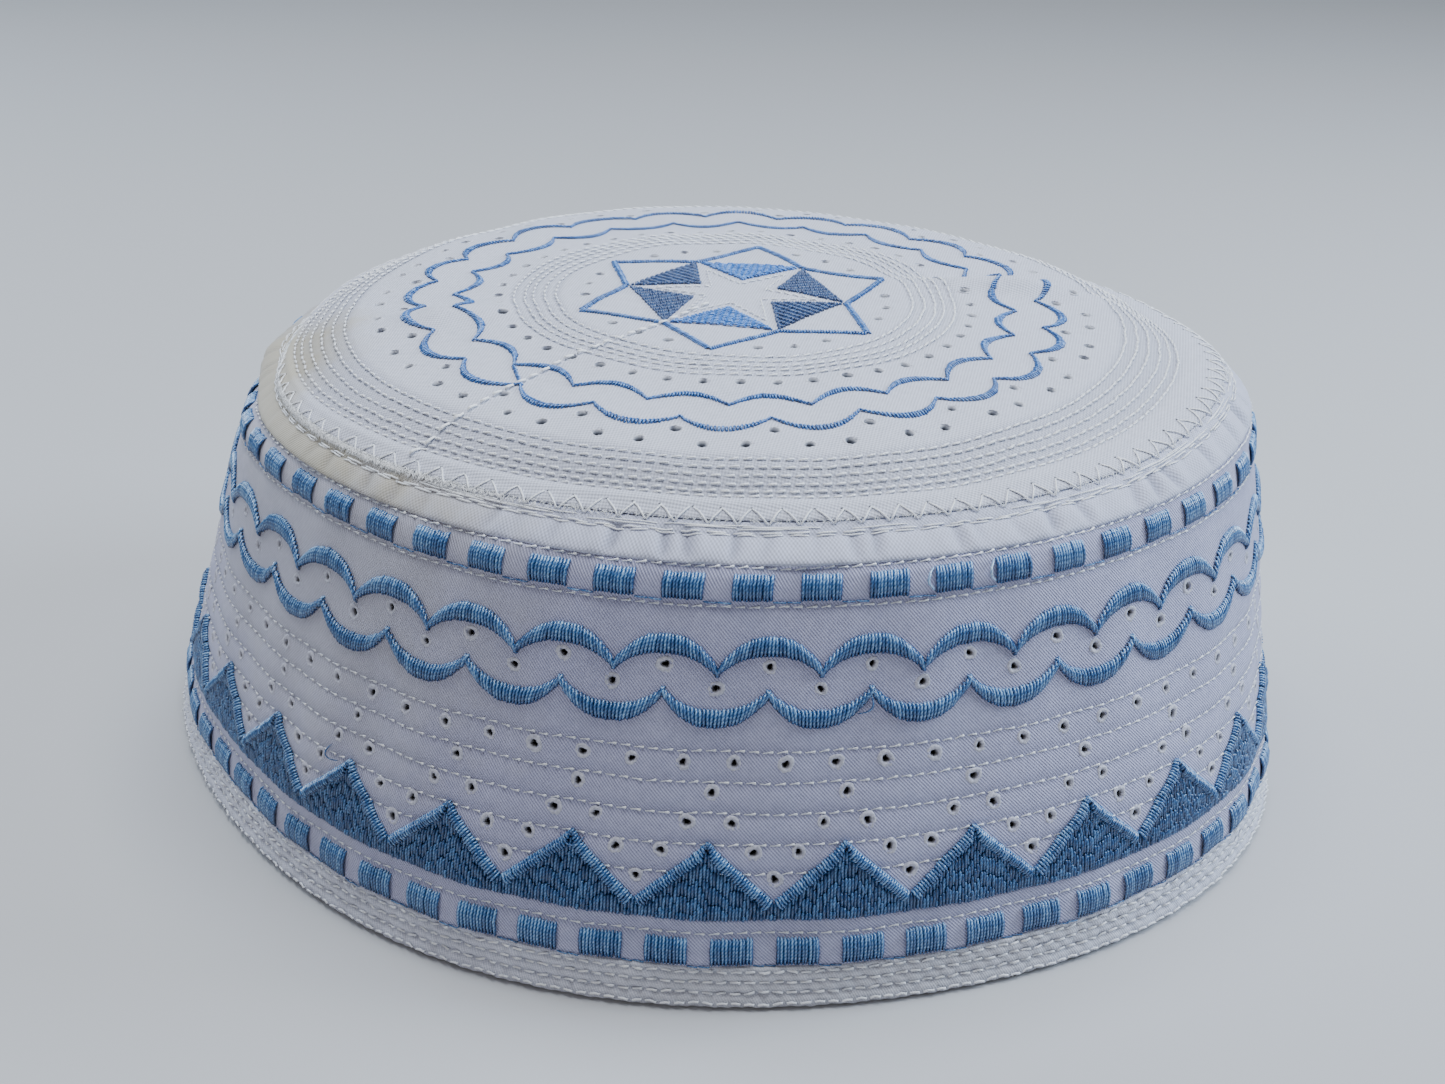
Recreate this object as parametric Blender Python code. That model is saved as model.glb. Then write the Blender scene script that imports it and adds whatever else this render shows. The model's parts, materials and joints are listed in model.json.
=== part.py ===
"""A soft round prayer cap, made of four sewn pieces of quilted cotton.

Metres, +Z up. The cap stands on its rim at z = 0, with the wearer's front towards -Y
and the long axis of the oval rim along Y. Sizes are in millimetres until a point is placed.
"""

import math
from collections import namedtuple

import bmesh
import bpy
import numpy as np
from mathutils import Matrix, Vector

MM = 0.001

# cloth thicknesses and the gap between pieces that touch
wall_cloth = 2.0
crown_cloth = 2.0
strip_cloth = 1.5
hem_cloth = 2.6
gap = 0.3

# facets round each piece
wall_facets = 80
crown_facets = 72
gathers = 44
facets_per_gather = 3

# moves the middle of the whole cap's box over the origin
stand_x = 1.14
stand_y = -1.21

# the crown leans up towards +X and +Y by this much at lean_reach from the middle, and the
# lean grows from nothing to its whole between two places along the rings
lean_x = 0.95
lean_y = 0.76
lean_reach = 80.0
lean_starts = 3.0
lean_whole = 5.0

# Level rings of the cap's outer face, from the rim up to the middle of the crown. A ring is a
# circle of its radius about its middle, swelled by a two-lobed, a three-lobed and a
# four-lobed wave. Each wave's size is a share of the radius, and its turn is in degrees.
Ring = namedtuple(
    "Ring",
    "name height radius middle_x middle_y two two_turn three three_turn four four_turn",
)
rings = [
    Ring("rim", 0.0, 92.7, 0.0, 0.0, 0.060, 90, 0.018, 76, 0.011, 3),
    Ring("lower squares", 9.6, 92.0, 0.0, 0.0, 0.060, 90, 0.018, 76, 0.011, 3),
    Ring("upper squares", 61.4, 81.5, 1.3, -2.4, 0.046, 97, 0.015, 62, 0.005, 25),
    Ring("top of wall", 64.1, 80.5, 1.7, -3.0, 0.043, 100, 0.016, 62, 0.004, 30),
    Ring("gathered seam", 67.3, 77.2, 2.1, -3.3, 0.037, 106, 0.017, 55, 0.004, 46),
    Ring("zigzag tips", 70.0, 74.3, 2.1, -3.2, 0.033, 112, 0.016, 47, 0.008, 46),
    Ring("outer quilting", 71.2, 70.9, 1.6, -2.2, 0.026, 118, 0.010, 43, 0.009, 46),
    Ring("inner quilting", 74.6, 63.8, 1.6, -2.5, 0.012, 136, 0.003, 50, 0.008, 48),
    Ring("outer garland", 76.3, 52.9, 1.4, -2.4, 0.008, 147, 0.000, 33, 0.003, 44),
    Ring("inner garland", 76.6, 47.4, 1.4, -2.6, 0.011, 160, 0.002, 30, 0.004, 26),
    Ring("star tips", 78.2, 27.7, 1.4, -2.6, 0.011, 160, 0.002, 30, 0.004, 26),
    Ring("middle", 78.6, 0.0, 1.4, -2.6, 0.011, 160, 0.002, 30, 0.004, 26),
]

# Dents and rises from handling. Each fades out over turn_width degrees and ring_width rings
# from its middle. Push moves the cloth outwards and lift moves it up.
Dent = namedtuple("Dent", "name turn ring turn_width ring_width push lift")
dents = [
    Dent("shoulder pushed in", 118, 3.5, 16, 2.0, -2.6, -1.9),
    Dent("sunk shoulder", 348, 5.0, 18, 1.6, -0.5, -1.6),
    Dent("raised shoulder", 285, 4.5, 18, 1.8, 0.8, 2.2),
    Dent("end of the crown's crease", 313, 8.5, 6, 1.0, 0.0, 1.9),
    Dent("other end of the crease", 133, 8.7, 6, 1.0, 0.0, 2.2),
]

# Where the pieces end, as places along the rings: 2.5 is halfway from ring 2 to ring 3.
# In each cut through the cloth below, a point is a place and a depth under the outer face.
hem_top = 0.77
wall_bottom = 0.80
wall_top = 3.0
strip_bottom = 3.06
strip_top = 4.30
crown_edge = 4.40
strip_tuck = 5.2

# each seam's two cut edges are square to the cloth at the seam's own place
seams = (0.785, 3.03, 4.35)
seam_reach = 0.06

# gathers of the strip between the wall and the crown
gather_depth = 0.45
strip_step = 0.5

# the embroidered wall's eyelets: two rows of one eyelet to each scallop of the garland
seam_turn = 90.0
scallops = 36
scallop_pitch = 1 / 36.4
first_cusp = 0.0207
upper_eyelet_height = 50.4
lower_eyelet_height = 47.4
eyelet_radius = 0.75

# The crown's eyelets: one outside each cusp of the outer garland, and three in each gap between
# two tips of the star. Turns are about the middle of the garlands or of the star.
garland_x = 0.8
garland_y = -2.5
crown_cusps = 24
crown_cusp_turn = 199.4
crown_cusp_radius = 54.9
star_x = 0.2
star_y = -3.0
star_tips = 6
star_tip_turn = 199.7
eyelets_per_gap = 3
star_eyelet_step = 13.5
star_eyelet_radius = 25.0
crown_level = 76.0
punch_sides = 6
punch_length = 9.0


def smooth_through(column, place):
    """Read a column of the ring table at any place, on a curve with no overshoot."""
    values = np.array([getattr(ring, column) for ring in rings], float)
    return monotone(values, place)


def monotone(values, place):
    steps = np.diff(values)
    slopes = np.zeros(len(values))
    same_way = steps[:-1] * steps[1:] > 0
    product = np.where(same_way, 2 * steps[:-1] * steps[1:], 0.0)
    slopes[1:-1] = product / np.where(same_way, steps[:-1] + steps[1:], 1.0)
    slopes[0] = steps[0]
    slopes[-1] = steps[-1]
    place = np.clip(np.asarray(place, float), 0, len(values) - 1)
    row = np.minimum(place.astype(int), len(values) - 2)
    part = place - row
    start = values[row] + part * part * (3 - 2 * part) * steps[row]
    bend = part * (1 - part) * ((1 - part) * slopes[row] - part * slopes[row + 1])
    return start + bend


def lobes(column, count, place, turn):
    """A wave of the given number of lobes, faded between rings with its turn."""
    sizes = np.array([getattr(ring, column) for ring in rings])
    turns = np.radians([getattr(ring, column + "_turn") * count for ring in rings])
    across = monotone(sizes * np.cos(turns), place)
    along = monotone(sizes * np.sin(turns), place)
    return across * np.cos(count * turn) + along * np.sin(count * turn)


def outer_face(turn_degrees, place):
    """Points of the cap's outer face, in millimetres."""
    turn = np.radians(turn_degrees)
    waves = lobes("two", 2, place, turn) + lobes("three", 3, place, turn) + lobes("four", 4, place, turn)
    reach = smooth_through("radius", place) * (1 + waves)
    height = smooth_through("height", place)
    for dent in dents:
        turn_off = (turn_degrees - dent.turn + 180) % 360 - 180
        fade = np.exp(-(turn_off / dent.turn_width) ** 2 - ((place - dent.ring) / dent.ring_width) ** 2)
        reach = reach + dent.push * fade
        height = height + dent.lift * fade
    x = smooth_through("middle_x", place) + reach * np.cos(turn)
    y = smooth_through("middle_y", place) + reach * np.sin(turn)
    on_crown = np.clip((place - lean_starts) / (lean_whole - lean_starts), 0, 1)
    height = height + on_crown * (lean_x * x + lean_y * y) / lean_reach
    return np.array([x + stand_x, y + stand_y, np.maximum(height, 0)])


def outward(turn, place):
    """The way out of the cloth, square to the outer face."""
    small = 0.02
    along = outer_face(turn + small, place) - outer_face(turn - small, place)
    middle = len(rings) - 1
    high = min(max(place, small) + small, middle - small)
    up = outer_face(turn, high) - outer_face(turn, high - 2 * small)
    way = np.cross(along, up)
    return way / np.linalg.norm(way)


def cloth_point(turn, place, depth):
    """A point below the outer face by a depth, kept above the surface the cap stands on."""
    if place == len(rings) - 1:
        way = np.array([0, 0, 1.0])
    else:
        near = [seam for seam in seams if abs(place - seam) < seam_reach]
        way = outward(turn, near[0] if near else place)
    point = outer_face(turn, place) - depth * way
    if place == 0:
        point[2] = 0
    return Vector(point * MM)


def gather_wave(turn, place):
    """How far the gathered strip sinks between its small folds, at a turn and a place."""
    way_up = min(max((place - strip_bottom) / (strip_top - strip_bottom), 0), 1)
    fade = math.sin(math.pi * way_up) ** 0.5
    return gather_depth * fade * (0.5 - 0.5 * math.cos(math.radians(turn * gathers)))


def girth_turn(share, place):
    """The turn reached after a share of the way round from the back seam, by cloth length."""
    turns = np.linspace(seam_turn, seam_turn + 360, 721)
    x, y, height = outer_face(turns, np.full(len(turns), float(place)))
    lengths = np.concatenate([[0], np.cumsum(np.hypot(np.diff(x), np.diff(y)))])
    return float(np.interp(share % 1, lengths / lengths[-1], turns))


def place_at_height(height):
    """The place on the straight part of the wall that is at a height above the rim."""
    places = np.linspace(0, wall_top, 301)
    heights = smooth_through("height", places)
    return float(np.interp(height, heights, places))


def cloth_material(name, colour, roughness):
    material = bpy.data.materials.new(name)
    material.use_nodes = True
    shader = material.node_tree.nodes["Principled BSDF"]
    shader.inputs["Base Color"].default_value = (*colour, 1)
    shader.inputs["Roughness"].default_value = roughness
    shader.inputs["Metallic"].default_value = 0
    return material


def sewn_piece(name, outline, facets, closed, material, sink=None):
    """Wrap a grid round the cap: its columns go round, its rows follow a cut through the cloth."""
    rows = outline + outline[:1] if closed else outline
    work = bmesh.new()
    bmesh.ops.create_grid(work, x_segments=facets, y_segments=len(rows) - 1, size=1.0)
    for vertex in work.verts:
        column = round((vertex.co.x + 1) / 2 * facets)
        place, depth = rows[round((vertex.co.y + 1) / 2 * (len(rows) - 1))]
        turn = 360 * (column % facets) / facets
        if sink and depth <= strip_step:
            depth = depth + sink(turn, place)
        vertex.co = cloth_point(turn, place, depth)
    bmesh.ops.remove_doubles(work, verts=work.verts, dist=0.01 * MM)
    bmesh.ops.recalc_face_normals(work, faces=work.faces)
    mesh = bpy.data.meshes.new(name)
    work.to_mesh(mesh)
    work.free()
    mesh.shade_smooth()
    mesh.set_sharp_from_angle(angle=math.radians(40))
    mesh.materials.append(material)
    piece = bpy.data.objects.new(name, mesh)
    bpy.context.collection.objects.link(piece)
    return piece


def hem(material):
    """The stitched hem: the wall's lower edge turned and rolled into a cord that the cap stands on."""
    outline = [
        (hem_top, 0.0),
        (0.45, -0.15),
        (0.14, -0.4),
        (0.0, 0.4),
        (0.0, hem_cloth - 0.6),
        (0.14, hem_cloth),
        (0.45, wall_cloth + 0.2),
        (hem_top, wall_cloth),
    ]
    return sewn_piece("hem", outline, wall_facets, True, material)


def side_band(material):
    """The embroidered wall, a little conical, from the hem to the stitched line under the gathers."""
    outer = [(p, 0.0) for p in (wall_bottom, 1.0, 1.25, 1.5, 1.75, 2.0, 2.4, wall_top)]
    inner = [(p, wall_cloth) for p in (wall_top, 2.0, 1.5, 1.0, wall_bottom)]
    return sewn_piece("side_band", outer + inner, wall_facets, True, material)


def gathered_strip(material):
    """The gathered top edge, whose inner margin is tucked under the crown's edge."""
    tuck = crown_cloth + gap + 0.05
    outline = [
        (strip_bottom, 0.0),
        (3.4, 0.05),
        (3.9, 0.3),
        (strip_top, strip_step),
        (strip_top, tuck),
        (strip_tuck, tuck),
        (strip_tuck, tuck + strip_cloth),
        (4.0, wall_cloth + 0.4),
        (strip_bottom, wall_cloth),
    ]
    return sewn_piece("gathered_strip", outline, gathers * facets_per_gather, True, material, gather_wave)


def crown_panel(material):
    """The quilted crown: a disc that is nearly flat in the middle and slopes to its zigzagged edge."""
    outer = (crown_edge, 5.0, 5.6, 6.3, 7.0, 7.6, 8.2, 8.8, 9.4, 10.2, 11.0)
    inner = (11.0, 10.0, 9.0, 8.0, 7.0, 6.0, 5.2, crown_edge)
    outline = [(p, 0.0) for p in outer] + [(p, crown_cloth) for p in inner]
    edge_to_edge = outline[outer.index(11.0) + 1:] + outline[:outer.index(11.0) + 1]
    return sewn_piece("crown_panel", edge_to_edge, crown_facets, False, material)


def punch(name, spots):
    """Six-sided prisms as one cutter. A spot is a point on the cloth and the way through it."""
    work = bmesh.new()
    for centre, way in spots:
        upright = Vector(way).to_track_quat("Z", "Y").to_matrix().to_4x4()
        stand = Matrix.Translation(Vector(centre) * MM) @ upright
        bmesh.ops.create_cone(
            work,
            cap_ends=True,
            segments=punch_sides,
            radius1=eyelet_radius * MM,
            radius2=eyelet_radius * MM,
            depth=punch_length * MM,
            matrix=stand,
        )
    mesh = bpy.data.meshes.new(name)
    work.to_mesh(mesh)
    work.free()
    cutter = bpy.data.objects.new(name, mesh)
    cutter.hide_render = True
    cutter.display_type = "WIRE"
    bpy.context.collection.objects.link(cutter)
    return cutter


def pierce(piece, cutter):
    cut = piece.modifiers.new("eyelets", "BOOLEAN")
    cut.operation = "DIFFERENCE"
    cut.object = cutter


def wall_eyelets():
    """An eyelet under the middle of each scallop, and one below each cusp between them."""
    low = place_at_height(lower_eyelet_height)
    high = place_at_height(upper_eyelet_height)
    spots = []
    for count in range(scallops):
        cusp = first_cusp + count * scallop_pitch
        for share, place in ((cusp, low), (cusp + scallop_pitch / 2, high)):
            turn = girth_turn(share, 1.0)
            spots.append((outer_face(turn, place), outward(turn, place)))
    return spots


def crown_spot(x, y, radius, turn_degrees):
    turn = math.radians(turn_degrees)
    point = (x + stand_x + radius * math.cos(turn), y + stand_y + radius * math.sin(turn), crown_level)
    return point, (0, 0, 1)


def crown_eyelets():
    """An eyelet outside each cusp of the outer garland, and three in each gap of the star."""
    spots = []
    for count in range(crown_cusps):
        turn = crown_cusp_turn + count * 360 / crown_cusps
        spots.append(crown_spot(garland_x, garland_y, crown_cusp_radius, turn))
    for tip in range(star_tips):
        middle = star_tip_turn + (tip + 0.5) * 360 / star_tips
        for count in range(eyelets_per_gap):
            turn = middle + (count - 1) * star_eyelet_step
            spots.append(crown_spot(star_x, star_y, star_eyelet_radius, turn))
    return spots


for old in list(bpy.data.objects):
    bpy.data.objects.remove(old)

wall_cotton = cloth_material("wall_cotton", (0.76, 0.78, 0.86), 0.8)
crown_cotton = cloth_material("crown_cotton", (0.82, 0.83, 0.86), 0.8)
strip_cotton = cloth_material("strip_cotton", (0.80, 0.80, 0.82), 0.8)
hem_cotton = cloth_material("hem_cotton", (0.78, 0.79, 0.84), 0.85)

hem(hem_cotton)
wall = side_band(wall_cotton)
gathered_strip(strip_cotton)
crown = crown_panel(crown_cotton)
pierce(wall, punch("wall_punch", wall_eyelets()))
pierce(crown, punch("crown_punch", crown_eyelets()))
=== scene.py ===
"""The looks of a soft prayer cap of white cotton, quilted in rows and embroidered in blue.

The cap stands on its rim at z = 0, with the wearer's front towards -Y and the long axis of
the oval rim along Y. Sizes are in millimetres until a mesh is placed, and then in metres.
"""

import json
import math
from collections import namedtuple

import bmesh
import bpy
import numpy as np
from mathutils import Matrix, Vector

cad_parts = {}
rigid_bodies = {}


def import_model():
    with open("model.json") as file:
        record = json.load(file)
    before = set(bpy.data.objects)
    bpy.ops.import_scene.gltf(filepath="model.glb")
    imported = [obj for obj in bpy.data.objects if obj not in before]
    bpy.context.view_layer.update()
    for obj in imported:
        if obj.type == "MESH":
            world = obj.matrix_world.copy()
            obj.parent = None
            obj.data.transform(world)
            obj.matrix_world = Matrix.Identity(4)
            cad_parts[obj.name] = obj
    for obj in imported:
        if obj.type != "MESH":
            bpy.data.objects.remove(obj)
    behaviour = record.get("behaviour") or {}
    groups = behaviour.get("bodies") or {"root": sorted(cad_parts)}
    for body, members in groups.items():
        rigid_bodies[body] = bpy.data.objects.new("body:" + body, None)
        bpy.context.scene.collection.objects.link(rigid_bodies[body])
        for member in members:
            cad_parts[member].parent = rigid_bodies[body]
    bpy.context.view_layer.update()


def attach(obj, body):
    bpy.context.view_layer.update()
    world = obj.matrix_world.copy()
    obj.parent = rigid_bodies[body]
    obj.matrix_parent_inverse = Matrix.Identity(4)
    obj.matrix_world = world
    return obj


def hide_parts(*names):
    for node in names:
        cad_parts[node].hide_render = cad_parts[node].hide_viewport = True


for old in list(bpy.data.objects):
    bpy.data.objects.remove(old)
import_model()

# The embroidered wall
# A strip of white cotton twill in two layers, its ends joined by a seam at the back. It is
# quilted in rows and stands in a slightly leaning cone from the hem up to the gathered strip.
MM = 0.001
wall_cloth = 2.0
stand_x = 1.14
stand_y = -1.21
lean_x = 0.95
lean_y = 0.76
lean_reach = 80.0
lean_starts = 3.0
lean_whole = 5.0
seam_turn = 90.0

Ring = namedtuple(
    "Ring",
    "name height radius middle_x middle_y two two_turn three three_turn four four_turn",
)
rings = [
    Ring("rim", 0.0, 92.7, 0.0, 0.0, 0.060, 90, 0.018, 76, 0.011, 3),
    Ring("lower squares", 9.6, 92.0, 0.0, 0.0, 0.060, 90, 0.018, 76, 0.011, 3),
    Ring("upper squares", 61.4, 81.5, 1.3, -2.4, 0.046, 97, 0.015, 62, 0.005, 25),
    Ring("top of wall", 64.1, 80.5, 1.7, -3.0, 0.043, 100, 0.016, 62, 0.004, 30),
    Ring("gathered seam", 67.3, 77.2, 2.1, -3.3, 0.037, 106, 0.017, 55, 0.004, 46),
    Ring("zigzag tips", 70.0, 74.3, 2.1, -3.2, 0.033, 112, 0.016, 47, 0.008, 46),
    Ring("outer quilting", 71.2, 70.9, 1.6, -2.2, 0.026, 118, 0.010, 43, 0.009, 46),
    Ring("inner quilting", 74.6, 63.8, 1.6, -2.5, 0.012, 136, 0.003, 50, 0.008, 48),
    Ring("outer garland", 76.3, 52.9, 1.4, -2.4, 0.008, 147, 0.000, 33, 0.003, 44),
    Ring("inner garland", 76.6, 47.4, 1.4, -2.6, 0.011, 160, 0.002, 30, 0.004, 26),
    Ring("star tips", 78.2, 27.7, 1.4, -2.6, 0.011, 160, 0.002, 30, 0.004, 26),
    Ring("middle", 78.6, 0.0, 1.4, -2.6, 0.011, 160, 0.002, 30, 0.004, 26),
]
last_place = len(rings) - 1

Dent = namedtuple("Dent", "name turn ring turn_width ring_width push lift")
dents = [
    Dent("shoulder pushed in", 118, 3.5, 16, 2.0, -2.6, -1.9),
    Dent("sunk shoulder", 348, 5.0, 18, 1.6, -0.5, -1.6),
    Dent("raised shoulder", 285, 4.5, 18, 1.8, 0.8, 2.2),
    Dent("end of the crown's crease", 313, 8.5, 6, 1.0, 0.0, 1.9),
    Dent("other end of the crease", 133, 8.7, 6, 1.0, 0.0, 2.2),
    Dent("wall tucked under the shoulder", 111, 2.1, 11, 0.8, -2.6, 0.0),
    Dent("shoulder that hangs over it", 116, 3.6, 9, 0.8, 2.3, 1.4),
]


def monotone(values, place):
    """Read a column of values at any place between its rows, on a curve with no overshoot."""
    steps = np.diff(values)
    before = steps[:-1]
    after = steps[1:]
    same_way = before * after > 0
    between = np.where(same_way, 2 * before * after, 0.0) / np.where(same_way, before + after, 1.0)
    slopes = np.concatenate([steps[:1], between, steps[-1:]])
    place = np.clip(np.asarray(place, float), 0, last_place)
    row = np.minimum(place.astype(int), last_place - 1)
    part = place - row
    start = values[row] + part * part * (3 - 2 * part) * steps[row]
    return start + part * (1 - part) * ((1 - part) * slopes[row] - part * slopes[row + 1])


def ring_value(column, place):
    return monotone(np.array([getattr(ring, column) for ring in rings], float), place)


def lobes(column, count, place, turn):
    """A wave of the given number of lobes, faded between rings with its turn."""
    sizes = np.array([getattr(ring, column) for ring in rings])
    turns = np.radians([getattr(ring, column + "_turn") * count for ring in rings])
    across = monotone(sizes * np.cos(turns), place)
    along = monotone(sizes * np.sin(turns), place)
    return across * np.cos(count * turn) + along * np.sin(count * turn)


def outer_face(turn_degrees, place):
    """Points of the cap's outer face, at a turn in degrees and a place along the rings."""
    turn = np.radians(turn_degrees)
    waves = lobes("two", 2, place, turn) + lobes("three", 3, place, turn) + lobes("four", 4, place, turn)
    reach = ring_value("radius", place) * (1 + waves)
    height = ring_value("height", place)
    for dent in dents:
        turn_off = (turn_degrees - dent.turn + 180) % 360 - 180
        fade = np.exp(-(turn_off / dent.turn_width) ** 2 - ((place - dent.ring) / dent.ring_width) ** 2)
        reach = reach + dent.push * fade
        height = height + dent.lift * fade
    x = ring_value("middle_x", place) + reach * np.cos(turn)
    y = ring_value("middle_y", place) + reach * np.sin(turn)
    on_crown = np.clip((place - lean_starts) / (lean_whole - lean_starts), 0, 1)
    height = height + on_crown * (lean_x * x + lean_y * y) / lean_reach
    return np.array([x + stand_x, y + stand_y, np.maximum(height, 0)])


girth_turns = np.linspace(seam_turn, seam_turn + 360, 1441)
girth_line = outer_face(girth_turns, np.ones(len(girth_turns)))
girth_steps = np.hypot(*np.diff(girth_line[:2]))
girth = girth_steps.sum()
girth_shares = np.concatenate([[0], np.cumsum(girth_steps)]) / girth
place_steps = np.linspace(0, last_place, 2201)
place_heights = ring_value("height", place_steps)


def wall_face(share, height):
    """Points of the outer face, at a share of the way round from the back seam and a height."""
    turn = np.interp(share % 1, girth_shares, girth_turns)
    return outer_face(turn, np.interp(height, place_heights, place_steps))


def way_out(face, a, b, reach_a, reach_b):
    """The way out of a face of the cloth, square to it, at points given by two coordinates."""
    along = face(a + reach_a, b) - face(a - reach_a, b)
    up = face(a, b + reach_b) - face(a, b - reach_b)
    way = np.cross(along, up, axis=0)
    return way / np.linalg.norm(way, axis=0)


def wall_out(share, height):
    return way_out(wall_face, share, height, 0.0005, 0.05)


def bell(off, width):
    """A smooth hump of height 1, as wide as given to each side."""
    return np.exp(-(off / width) ** 2)


wall_stitch_rows = (63.9, 58.6, 38.4, 33.9, 29.5, 25.0, 20.8, 11.9)
wall_low = 6.95
wall_high = 64.2
wrinkle_draw = np.random.default_rng(11)
wrinkles = [
    (
        wrinkle_draw.integers(4, 34),
        wrinkle_draw.uniform(-0.022, 0.022),
        wrinkle_draw.uniform(0.02, 0.10),
        wrinkle_draw.uniform(0, 2 * math.pi),
    )
    for count in range(16)
]


def wall_grooves(height):
    """How deep the wall's rows of stitches are sunk, from 0 to about 1."""
    depth = np.zeros(np.shape(height))
    for row in wall_stitch_rows:
        depth += 0.6 * bell(height - row, 0.45) + 0.4 * bell(height - row, 1.4)
    return depth


def wall_relief(share, height):
    """How far the quilted wall stands off its smooth form, in millimetres."""
    relief = -0.40 * wall_grooves(height)
    for waves, climb, size, start in wrinkles:
        relief += size * np.cos(2 * math.pi * (waves * share + climb * height) + start)
    from_seam = ((share + 0.5) % 1 - 0.5) * girth
    return relief - 0.55 * bell(from_seam, 0.7) + 0.12 * bell(np.abs(from_seam) - 2.5, 1.6)


def mesh_from(name, work):
    mesh = bpy.data.meshes.new(name)
    work.to_mesh(mesh)
    work.free()
    return mesh


def show(name, data):
    piece = bpy.data.objects.new(name, data)
    bpy.context.collection.objects.link(piece)
    return piece


def spots_of(mesh):
    spots = np.empty(len(mesh.vertices) * 3, np.float32)
    mesh.vertices.foreach_get("co", spots)
    return spots.reshape(-1, 3)


def place_spots(mesh, spots):
    """Moves a mesh's points to places in millimetres, one row each or grouped by copy."""
    mesh.vertices.foreach_set("co", (spots * MM).astype(np.float32).ravel())


def set_attribute(mesh, name, values):
    layer = mesh.attributes.new(name, "FLOAT", "POINT")
    layer.data.foreach_set("value", np.asarray(values, np.float32).ravel())


def length_along(line):
    return np.concatenate([[0], np.cumsum(np.hypot(*np.diff(line, axis=0).T))])


def wrap_cloth(name, columns, rows, lay):
    """A grid wrapped round the cap. lay gives, for a column's share and a row, the point, its place
    on the flat pattern and how sunk the cloth is there, which sets its painted shade."""
    work = bmesh.new()
    work.loops.layers.uv.new("cloth")
    bmesh.ops.create_grid(work, x_segments=columns, y_segments=rows, size=1.0)
    mesh = mesh_from(name, work)
    spots = spots_of(mesh)
    share = np.rint((spots[:, 0] + 1) / 2 * columns) / columns
    row = np.rint((spots[:, 1] + 1) / 2 * rows).astype(int)
    points, flat, groove_shade = lay(share.astype(float), row)
    # Painted shade: how much the cloth is darkened where it is sunk.
    set_attribute(mesh, "groove_shade", np.clip(groove_shade, 0, 1))
    place_spots(mesh, points.T)
    corners = np.empty(len(mesh.loops), np.int32)
    mesh.loops.foreach_get("vertex_index", corners)
    mesh.uv_layers["cloth"].data.foreach_set("uv", (flat.T[corners] * MM).astype(np.float32).ravel())
    work = bmesh.new()
    work.from_mesh(mesh)
    bmesh.ops.remove_doubles(work, verts=work.verts, dist=0.001 * MM)
    bmesh.ops.recalc_face_normals(work, faces=work.faces)
    work.to_mesh(mesh)
    work.free()
    mesh.shade_smooth()
    return show(name, mesh)


outer_rows = np.linspace(wall_low, wall_high, 96)
for row_height in wall_stitch_rows:
    outer_rows[np.argmin(np.abs(outer_rows - row_height))] = row_height
wall_cut = np.array(
    [(height, 0.0) for height in outer_rows]
    + [(wall_high + 0.2, 0.35), (wall_high + 0.25, 1.0), (wall_high + 0.2, 1.7)]
    + [(height, wall_cloth) for height in np.linspace(wall_high, wall_low, 13)]
    + [(wall_low - 0.1, 1.6), (wall_low - 0.12, 1.0), (wall_low - 0.1, 0.4)]
    + [(outer_rows[0], 0.0)]
)
wall_cut_length = length_along(wall_cut)

Repeat = namedtuple("Repeat", "name first pitch")
scallops = Repeat("scallop cusps", 0.0207, 1 / 36.40)
lower_squares = Repeat("lower squares", 0.00639, 1 / 61.51)
upper_squares = Repeat("upper squares", 0.01215, 1 / 53.40)
triangles = Repeat("triangle apexes", 0.01154, 1 / 28.81)
close_eyelets = Repeat("closest row of eyelets", 0.01334, 1 / 76)
band_low = 13.9
valley_height = 17.0
apex_height = 25.5
underlay_margin = 0.9


def slope_height(share):
    """The height of the triangles' upper edge, at a share of the way round."""
    phase = ((share - triangles.first) / triangles.pitch) % 1
    return valley_height + (apex_height - valley_height) * np.abs(2 * phase - 1)


def lay_wall(share, row):
    height, depth = wall_cut[row].T
    relief = wall_relief(share, height) * np.where(depth < 0.3, 1.0, -0.4)
    points = wall_face(share, height) + wall_out(share, height) * (relief - depth)
    # Painted shade in the rows of stitches.
    groove_shade = np.where(depth < 0.3, 0.35 * wall_grooves(height), 0.0)
    return points, np.array([share * girth, wall_cut_length[row] + wall_low]), groove_shade


side_band_cloth = wrap_cloth("side_band_cloth", 600, len(wall_cut) - 1, lay_wall)
cloth_uv = np.empty(len(side_band_cloth.data.loops) * 2, np.float32)
side_band_cloth.data.uv_layers["cloth"].data.foreach_get("uv", cloth_uv)
corner_vertex = np.empty(len(side_band_cloth.data.loops), np.int32)
side_band_cloth.data.loops.foreach_get("vertex_index", corner_vertex)
flat_spot = np.empty((len(side_band_cloth.data.vertices), 2))
flat_spot[corner_vertex] = cloth_uv.reshape(-1, 2) / MM
flat_along, flat_up = flat_spot.T
room = np.minimum(flat_up - band_low - 0.2, slope_height(flat_along / girth) - underlay_margin - flat_up)
set_attribute(side_band_cloth.data, "underlay", np.clip(room / 0.3, 0, 1))


def add(tree, kind, inputs=None, **settings):
    """A new node with its settings. Inputs gives a socket its value, or the socket that feeds it."""
    node = tree.nodes.new(kind)
    for key, value in settings.items():
        setattr(node, key, value)
    for slot, value in (inputs or {}).items():
        if isinstance(value, bpy.types.NodeSocket):
            tree.links.new(value, node.inputs[slot])
        else:
            node.inputs[slot].default_value = value
    return node


def math_node(tree, operation, *values):
    return add(tree, "ShaderNodeMath", dict(enumerate(values)), operation=operation).outputs[0]


def noise(tree, place, scale, detail):
    return add(tree, "ShaderNodeTexNoise", {"Vector": place, "Scale": scale, "Detail": detail}).outputs[0]


def attribute(tree, name):
    return add(tree, "ShaderNodeAttribute", attribute_name=name).outputs["Fac"]


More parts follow.
